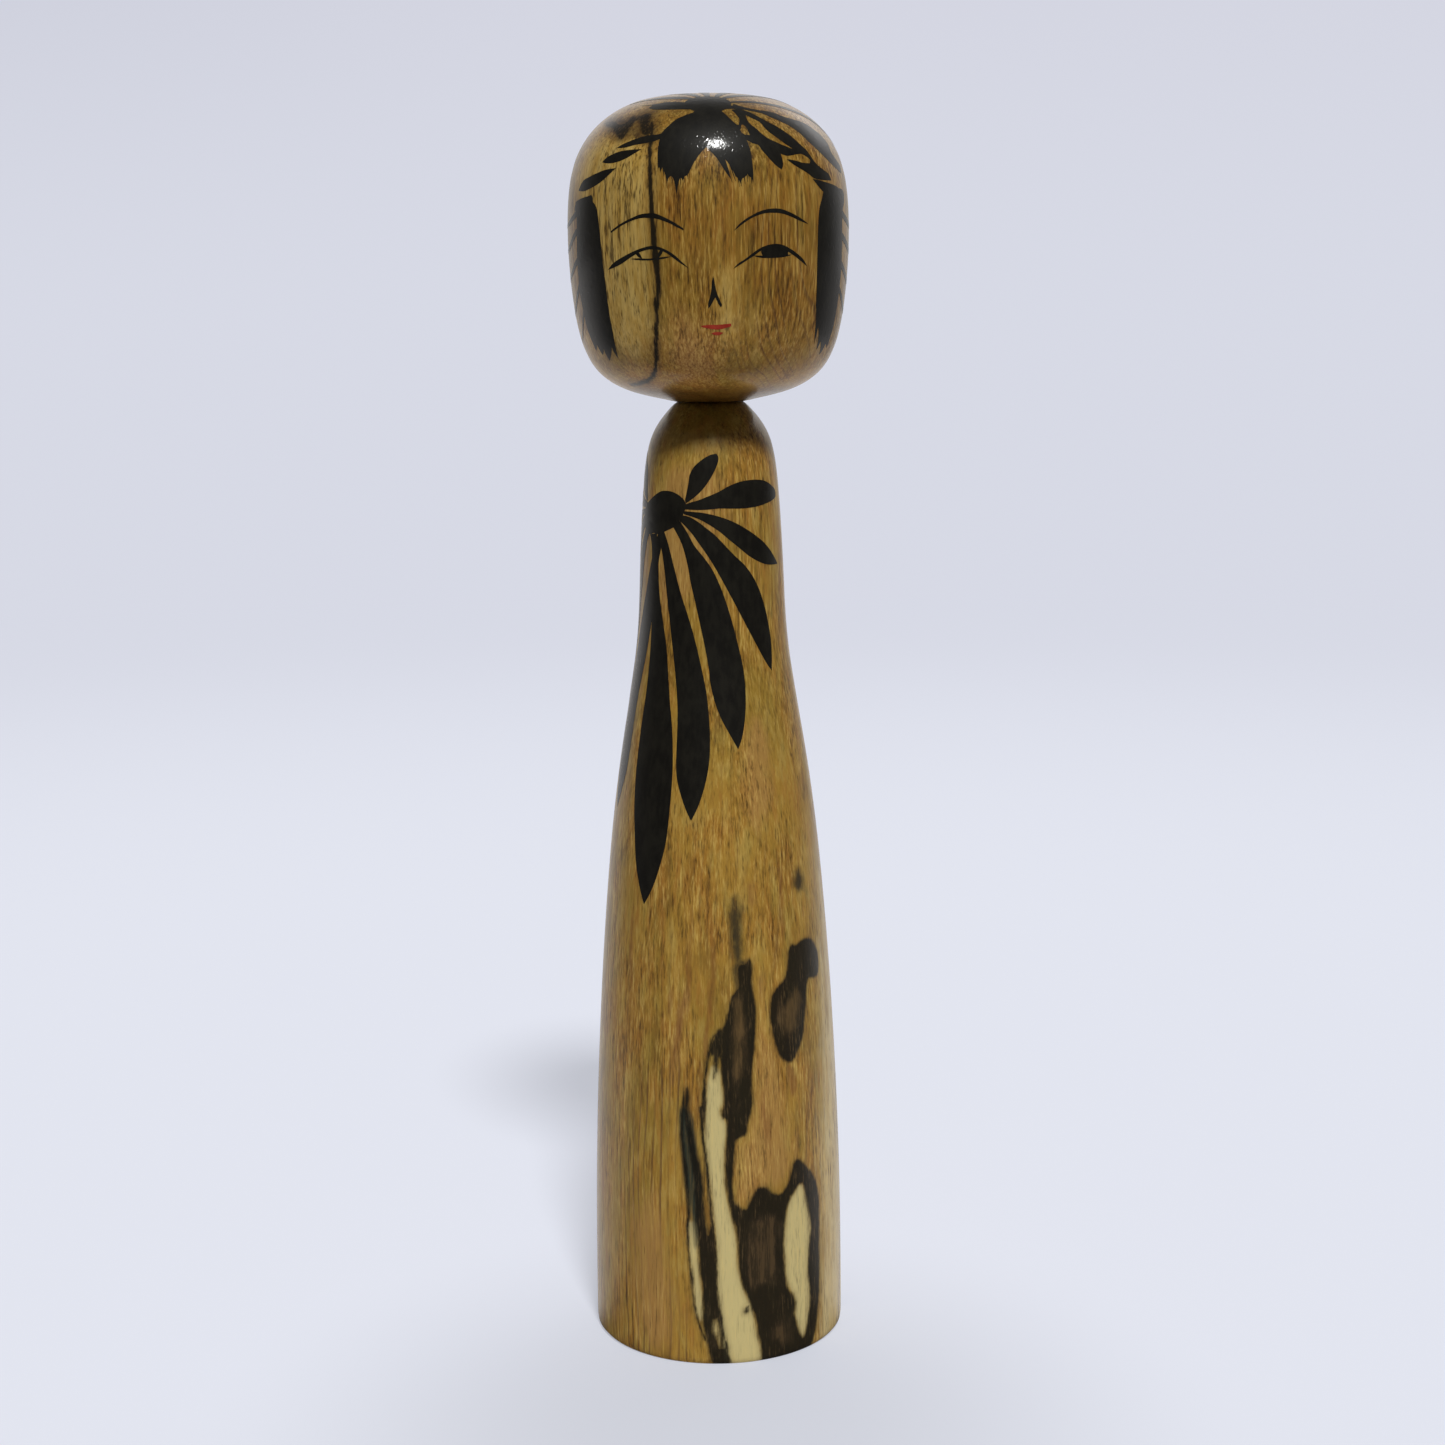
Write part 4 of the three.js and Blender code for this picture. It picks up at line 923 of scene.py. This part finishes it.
def paint_shell(name, chart, strokes, mat, step=0.28, grid=0.75, proud=0.03, sunk=0.05, planes=()):
    """One closed thin shell over the union of the strokes, following the turned surface."""
    polys = [outline_of(chart, r, step) for r in strokes] + [outline_of(chart, r, step, plane=True) for r in planes]
    verts, edges = [], []
    for P in polys:
        b = len(verts)
        verts += [Vector((float(x), float(y))) for x, y in P]
        edges += [(b + i, b + (i + 1) % len(P)) for i in range(len(P))]
    # inner points so that the shell bends with the surface
    taken = np.vstack(polys)
    for P in polys:
        lo, hi = P.min(0), P.max(0)
        gx = np.arange(lo[0] + grid / 2, hi[0], grid)
        gy = np.arange(lo[1] + grid / 2, hi[1], grid)
        if not len(gx) or not len(gy):
            continue
        X, Y = np.meshgrid(gx, gy)
        X = X + (np.arange(len(gy)) % 2)[:, None] * grid / 2
        X, Y = X.ravel(), Y.ravel()
        ok = inside(X, Y, P)
        X, Y = X[ok], Y[ok]
        if len(X):
            d = np.sqrt(((np.stack([X, Y], -1)[:, None, :] - P[None, :, :]) ** 2).sum(-1)).min(1)
            keep = d > grid * 0.45
            for x, y in zip(X[keep], Y[keep]):
                verts.append(Vector((float(x), float(y))))
    V, _, F, *_ = delaunay_2d_cdt(verts, edges, [], 0, 1e-5)
    V = np.array([(v[0], v[1]) for v in V])
    F = np.array([f for f in F if len(f) == 3])
    C = V[F].mean(1)
    m = np.zeros(len(F), bool)
    for P in polys:
        lo, hi = P.min(0), P.max(0)
        box = (C[:, 0] >= lo[0]) & (C[:, 0] <= hi[0]) & (C[:, 1] >= lo[1]) & (C[:, 1] <= hi[1])
        if box.any():
            m[box] |= inside(C[box, 0], C[box, 1], P)
    F = F[m]
    used = np.unique(F)
    remap = -np.ones(len(V), int)
    remap[used] = np.arange(len(used))
    V, F = V[used], remap[F]
    n = len(V)
    deg, s = chart.from_plane(V)
    top, low = chart.f.place(deg, s, proud), chart.f.place(deg, s, -sunk)
    # turn every top face outward
    nrm = np.cross(top[F[:, 1]] - top[F[:, 0]], top[F[:, 2]] - top[F[:, 0]])
    out = chart.f.place(deg, s, 1.0) - chart.f.place(deg, s, 0.0)
    flip = (nrm * out[F[:, 0]]).sum(1) < 0
    F[flip] = F[flip][:, ::-1]
    E = {}
    for a, b, c in F:
        for e in ((a, b), (b, c), (c, a)):
            E[e] = E.get(e, 0) + 1
    rim_edges = [e for e in E if (e[1], e[0]) not in E]
    faces = [tuple(map(int, f)) for f in F] + [tuple(int(i) + n for i in f[::-1]) for f in F]
    nt = len(faces)
    faces += [(int(a), int(a) + n, int(b) + n, int(b)) for a, b in rim_edges]
    me = bpy.data.meshes.new(name)
    me.from_pydata(np.vstack([top, low]).tolist(), [], faces)
    smooth = np.zeros(len(me.polygons), bool)
    smooth[:nt] = True
    me.polygons.foreach_set("use_smooth", smooth)
    me.update()
    me.set_sharp_from_angle(angle=math.radians(35))
    me.validate()
    ob = bpy.data.objects.new(name, me)
    bpy.context.scene.collection.objects.link(ob)
    ob.data.materials.append(mat)
    return ob


def brush(chart, pts, step=0.3, plane=False):
    """A brush stroke along (deg, height, width) points, as two runs of flat chart points."""
    A = np.array(pts, float)
    C = A[:, :2] if plane else chart.to_plane(A[:, 0], A[:, 1])
    Q = smooth_run(np.column_stack([C, A[:, 2] / 2]), step)
    T = np.gradient(Q[:, :2], axis=0)
    T /= np.linalg.norm(T, axis=1)[:, None]
    N = np.column_stack([-T[:, 1], T[:, 0]])
    L, R = Q[:, :2] + N * Q[:, 2:], Q[:, :2] - N * Q[:, 2:]
    return [L[::2] if len(L) > 8 else L, np.vstack([L[-1:], R[::-2] if len(R) > 8 else R[::-1], L[:1]])]


# fine side hair behind each lock
HATCH = [
    [(-65.0, 219.9, 1.2), (-70, 219.0, 1.1), (-78, 218.0, 0.9), (-88, 217.6, 0.5), (-95, 217.4, 0.08)],
    [(-65.0, 216.6, 1.2), (-70, 215.4, 1.2), (-77, 213.8, 1.1), (-87, 212.9, 0.6), (-96, 212.6, 0.08)],
    [(-65.0, 211.4, 1.2), (-70, 210.3, 1.2), (-77, 208.7, 1.0), (-87, 207.6, 0.6), (-95, 207.3, 0.08)],
    [(-66.5, 206.6, 1.2), (-70, 205.2, 1.2), (-76, 203.0, 1.1), (-85, 201.4, 0.6), (-93, 200.8, 0.08)],
    [(-65.5, 201.9, 1.0), (-68.6, 200.2, 1.0), (-74, 197.8, 0.7), (-81, 196.0, 0.08)],
    [(68.0, 219.6, 1.3), (73, 218.6, 1.3), (80, 217.7, 1.2), (90, 217.0, 0.7), (98, 216.8, 0.08)],
    [(68.0, 215.4, 1.3), (74, 214.2, 1.3), (81, 213.0, 1.2), (91, 212.4, 0.7), (99, 212.2, 0.08)],
    [(68.5, 210.3, 1.3), (74, 208.9, 1.3), (81, 207.4, 1.1), (91, 206.7, 0.6), (98, 206.4, 0.08)],
    [(69.0, 205.6, 1.1), (74, 204.0, 1.2), (80, 202.3, 1.0), (90, 201.2, 0.5), (96, 200.8, 0.08)],
]
HAIR_R5 = [(12.4, 238.72, 0.5), (19.8, 238.93, 0.7), (29.2, 238.98, 0.85), (41, 238.72, 1.0), (52, 238.25, 1.15), (60.5, 237.6, 1.3), (68.9, 236.7, 1.4), (77, 235.2, 1.2), (84, 233.4, 0.7), (89, 231.6, 0.08)]
# joins beside the topknot and loose hairs along the forelock's lower edge
HAIR_TIPS = [
    [(5.0, 237.5, 1.0), (11.0, 237.8, 1.3), (17.0, 237.75, 1.0), (22.0, 237.4, 0.2)],
    [(-17.89, 227.9, 0.30), (-17.6, 226.6, 0.26), (-17.24, 225.3, 0.06)],
    [(-16.05, 226.6, 0.34), (-15.95, 225.0, 0.28), (-15.86, 223.2, 0.06)],
    [(-14.15, 226.4, 0.30), (-14.0, 225.2, 0.26), (-13.85, 224.0, 0.06)],
    [(-12.05, 226.2, 0.40), (-11.95, 224.0, 0.34), (-11.85, 221.3, 0.06)],
    [(-10.75, 226.2, 0.30), (-10.55, 225.0, 0.26), (-10.32, 223.8, 0.06)],
    [(-9.47, 226.4, 0.30), (-9.2, 225.3, 0.24), (-8.9, 224.1, 0.06)],
    [(-7.9, 226.6, 0.26), (-7.7, 225.7, 0.22), (-7.5, 224.7, 0.06)],
    [(5.3, 228.6, 0.30), (7.4, 226.7, 0.28), (9.9, 224.1, 0.06)],
    [(8.6, 228.0, 0.24), (9.9, 226.2, 0.24), (11.1, 224.3, 0.06)],
    [(11.8, 226.4, 0.32), (12.2, 225.0, 0.26), (12.6, 223.3, 0.06)],
    [(13.0, 226.6, 0.30), (13.2, 225.0, 0.24), (13.4, 223.4, 0.06)],
    [(14.4, 226.6, 0.30), (14.65, 225.3, 0.24), (14.9, 223.8, 0.06)],
    [(15.6, 226.8, 0.28), (15.8, 225.6, 0.24), (15.95, 224.1, 0.06)],
    [(17.3, 226.6, 0.30), (17.5, 225.4, 0.26), (17.75, 223.9, 0.06)],
]
BROW_L = [(-41.5, 215.8, 0.30), (-38.16, 216.63, 0.40), (-34.1, 217.45, 0.44), (-30.56, 218.01, 0.50), (-27.17, 218.43, 0.66), (-23.64, 218.52, 0.82), (-20.74, 218.41, 0.86), (-17.66, 217.95, 0.70), (-14.65, 217.32, 0.58), (-11.69, 216.58, 0.50), (-9.38, 215.96, 0.28)]
# strokes fanning back over the crown from the topknot, in flat millimetres from the crown's centre
FAN = [
    [(-3.4, -17.6, 0.9), (-6.5, -16.4, 1.5), (-10.5, -14.2, 0.3), (-12.2, -12.8, 0.08)],
    [(-2.6, -15.4, 0.9), (-5.5, -13.6, 1.6), (-9.5, -10.8, 1.2), (-14.5, -6.8, 0.08)],
    [(-1.4, -14.6, 0.8), (-3.6, -10.5, 1.7), (-6.4, -5.2, 1.6), (-9.6, 1.5, 0.08)],
    [(0.2, -14.4, 0.8), (-0.4, -9.4, 1.7), (-0.9, -3.4, 1.7), (-1.2, 4.6, 0.08)],
    [(1.8, -14.6, 0.8), (3.2, -9.8, 1.7), (5.0, -4.2, 1.6), (7.4, 2.8, 0.08)],
    [(3.0, -15.2, 0.8), (6.4, -11.4, 1.6), (10.6, -7.0, 1.5), (16.4, -1.6, 0.08)],
]
mirror = 44.0
FLOWER_LEFT = []
for key in ("p1", "p2", "p3", "p4", "p5", "p6"):
    FLOWER_LEFT.append([[(-2 * mirror - d, z) for d, z in run] for run in BODY_STROKES[key]])

head_chart, body_chart = Sheet(head_form, True), Sheet(body_form, False)
hair_brush = [brush(head_chart, p) for p in HATCH + [HAIR_R5] + HAIR_TIPS] + [brush(head_chart, p, plane=True) for p in FAN]
knot = [(4.4 * math.cos(t) + 0.2, 3.3 * math.sin(t) - 17.6) for t in np.linspace(0, 2 * math.pi, 25)]
hair_brush.append([np.array(knot)])
hair = paint_shell("hair_painting", head_chart, list(HEAD_STROKES.values()), m_ink, planes=hair_brush)
face = paint_shell("face_painting", head_chart, list(FACE_STROKES.values()), m_ink, step=0.15, grid=0.5, planes=[brush(head_chart, BROW_L)])
lips = paint_shell("lips_painting", head_chart, list(LIPS_STROKES.values()), m_red, step=0.12, grid=0.4)
flower = paint_shell("flower_painting", body_chart, list(BODY_STROKES.values()) + FLOWER_LEFT, m_ink, step=0.3, grid=0.8)

for ob in (head, hair, face, lips):
    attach(ob, "head")
for ob in (body, flower):
    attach(ob, "body")
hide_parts("head")
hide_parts("body")

# ---------------------------------------------------------------- floor, light, camera
fl = bpy.data.meshes.new("floor")
R0, nseg = 6.0, 96
ringr = [0.0, 0.15, 0.4, 0.9, 1.6, 3.0, R0]
fv = [(0, 0, 0)] + [(r * math.cos(2 * math.pi * j / nseg), r * math.sin(2 * math.pi * j / nseg), 0.0) for r in ringr[1:] for j in range(nseg)]
ff = [(0, 1 + j, 1 + (j + 1) % nseg) for j in range(nseg)]
for i in range(len(ringr) - 2):
    a, b = 1 + i * nseg, 1 + (i + 1) * nseg
    ff += [(a + j, b + j, b + (j + 1) % nseg, a + (j + 1) % nseg) for j in range(nseg)]
fl.from_pydata(fv, [], ff)
floor = bpy.data.objects.new("floor", fl)
floor.location = (0, 0, -0.0001)
bpy.context.scene.collection.objects.link(floor)
BACK = (0.680, 0.697, 0.785)
FLOOR_A, FLOOR_B = (0.800, 0.832, 0.940), (0.830, 0.862, 0.970)
mf = bpy.data.materials.new("pale_floor")
g = Nodes(mf)
tcf = g.n("ShaderNodeTexCoord").outputs["Object"]
dist = g.n("ShaderNodeVectorMath", {"operation": "LENGTH"}, i0=tcf).outputs["Value"]
paper = g.noise(g.vec("MULTIPLY", tcf, (900, 900, 900)), 1.0, 3.0)
base = g.mix(g.lerp(paper, 0.35, 0.65), FLOOR_A, FLOOR_B)
# painted shadow: the floor the camera sees is darker within 10 cm of a point 45 mm in front of the foot
foot_d = g.n("ShaderNodeVectorMath", {"operation": "LENGTH"}, i0=g.vec("ADD", tcf, (0.0, 0.045, 0.0))).outputs["Value"]
painted_foot_shade = g.mix(g.ramp01(foot_d, 0.10, 0.015), (1.0, 1.0, 1.0), (0.84, 0.84, 0.84))
dif = g.n("ShaderNodeBsdfDiffuse", Color=g.mix(1.0, base, painted_foot_shade, "MULTIPLY"))
# the floor the camera sees glows as painted light: emission of the backdrop's colour is mixed in, 62 per cent near the
# piece and all of it far off, lightening the cast shadow
glow = g.mix(1.0, g.mix(g.ramp01(dist, 0.35, 1.1), (0.752, 0.775, 0.862), BACK), painted_foot_shade, "MULTIPLY")
em = g.n("ShaderNodeEmission", Color=glow, Strength=1.0)
seen = g.n("ShaderNodeMixShader", Fac=g.lerp(g.ramp01(dist, 0.30, 1.3), 0.62, 1.0))
g.t.links.new(dif.outputs[0], seen.inputs[1])
g.t.links.new(em.outputs[0], seen.inputs[2])
# the light that reaches the piece comes off the sheet round it, the room in front is dark
fy = g.n("ShaderNodeSeparateXYZ", i0=tcf).outputs[1]
warm = g.mix(1.0, base, (1.0, 0.94, 0.84), "MULTIPLY")
bounce = g.mix(g.ramp01(fy, -0.18, -0.62), warm, (0.05, 0.05, 0.055))
aback = g.ramp01(g.math("DIVIDE", fy, g.math("MAXIMUM", dist, 0.001)), 0.08, 0.68)
beside = g.ramp01(g.math("DIVIDE", fy, g.math("MAXIMUM", dist, 0.001)), -0.40, 0.20)
beside = g.math("MULTIPLY", beside, g.ramp01(dist, 0.42, 0.16))
sheen = g.mix(g.math("MAXIMUM", aback, beside), (0.06, 0.06, 0.06), warm)
fx = g.n("ShaderNodeSeparateXYZ", i0=tcf).outputs[0]
far_right = g.math("MULTIPLY", g.ramp01(dist, 0.50, 0.95), g.ramp01(g.math("DIVIDE", fx, g.math("MAXIMUM", dist, 0.001)), 0.25, 0.62))
sheen = g.mix(g.math("MULTIPLY", far_right, 0.60), sheen, (0.06, 0.06, 0.06))
lit = g.n("ShaderNodeBsdfDiffuse", Color=g.mix(g.n("ShaderNodeLightPath").outputs["Is Glossy Ray"], bounce, sheen))
mixs = g.n("ShaderNodeMixShader", Fac=g.n("ShaderNodeLightPath").outputs["Is Camera Ray"])
g.t.links.new(lit.outputs[0], mixs.inputs[1])
g.t.links.new(seen.outputs[0], mixs.inputs[2])
g.n("ShaderNodeOutputMaterial", Surface=mixs.outputs[0])
floor.data.materials.append(mf)

world = bpy.data.worlds.new("soft_room")
bpy.context.scene.world = world
world.use_nodes = True
wt = world.node_tree
wt.nodes.clear()


class WN(Nodes):
    def __init__(self, tree):
        self.t = tree


w = WN(wt)
dirv = w.n("ShaderNodeTexCoord").outputs["Generated"]
sx = w.n("ShaderNodeSeparateXYZ", i0=dirv)
behind = w.ramp01(sx.outputs[1], 0.33, 0.88)
up = w.ramp01(sx.outputs[2], 0.50, 0.92)
high = w.mix(w.ramp01(sx.outputs[2], 0.05, 0.30), (0.66, 0.65, 0.64), (1.0, 0.98, 0.98))
high = w.mix(w.math("MULTIPLY", w.ramp01(sx.outputs[2], 0.28, 0.52), w.ramp01(sx.outputs[0], 0.02, 0.50)), high, (2.7, 2.65, 2.65))
room = w.mix(behind, (0.058, 0.053, 0.048), high)
room = w.mix(w.math("MULTIPLY", up, 0.75), room, (0.060, 0.060, 0.062))
top = w.ramp01(sx.outputs[2], 0.0, 0.22)
sky = w.mix(top, BACK, w.mix(w.ramp01(sx.outputs[0], -0.02, -0.30), (0.648, 0.656, 0.744), (0.600, 0.612, 0.700)))
lp = w.n("ShaderNodeLightPath").outputs["Is Camera Ray"]
b_room = w.n("ShaderNodeBackground", Color=room, Strength=1.0)
b_cam = w.n("ShaderNodeBackground", Color=sky, Strength=1.0)
ms = w.n("ShaderNodeMixShader", Fac=lp)
wt.links.new(b_room.outputs[0], ms.inputs[1])
wt.links.new(b_cam.outputs[0], ms.inputs[2])
w.n("ShaderNodeOutputWorld", Surface=ms.outputs[0])


def sun(name, az, el, angle, power, colour):
    """A distant soft light az degrees right of the front and el above the horizon."""
    l = bpy.data.lights.new(name, "SUN")
    l.angle, l.energy, l.color = math.radians(angle), power, colour
    ob = bpy.data.objects.new(name, l)
    a, e = math.radians(az), math.radians(el)
    back = Vector((math.sin(a) * math.cos(e), -math.cos(a) * math.cos(e), math.sin(e)))
    ob.location = back
    ob.rotation_mode = "QUATERNION"
    ob.rotation_quaternion = back.to_track_quat("Z", "Y")
    bpy.context.scene.collection.objects.link(ob)
    return ob


sun("key", 11, 54, 8.8, 2.90, (1.0, 0.99, 0.965))

cam = bpy.data.cameras.new("camera")
cam.sensor_width = 36.0
cam.lens = 2359.2 / 1445 * 36.0
cam.clip_start, cam.clip_end = 0.01, 50
cam.dof.use_dof = False
co = bpy.data.objects.new("camera", cam)
bpy.context.scene.collection.objects.link(co)
co.location = (0.00178, -0.45609, 0.19829)
co.rotation_mode = "XYZ"
pitch, roll = math.radians(9.46), math.radians(0.56)
from mathutils import Matrix
co.matrix_world = Matrix.Translation(co.location) @ Matrix.Rotation(math.pi / 2 - pitch, 4, "X") @ Matrix.Rotation(-roll, 4, "Z")
bpy.context.scene.camera = co

vs = bpy.context.scene.view_settings
vs.view_transform = "Standard"
vs.look = "None"
vs.exposure, vs.gamma = 0.0, 1.0
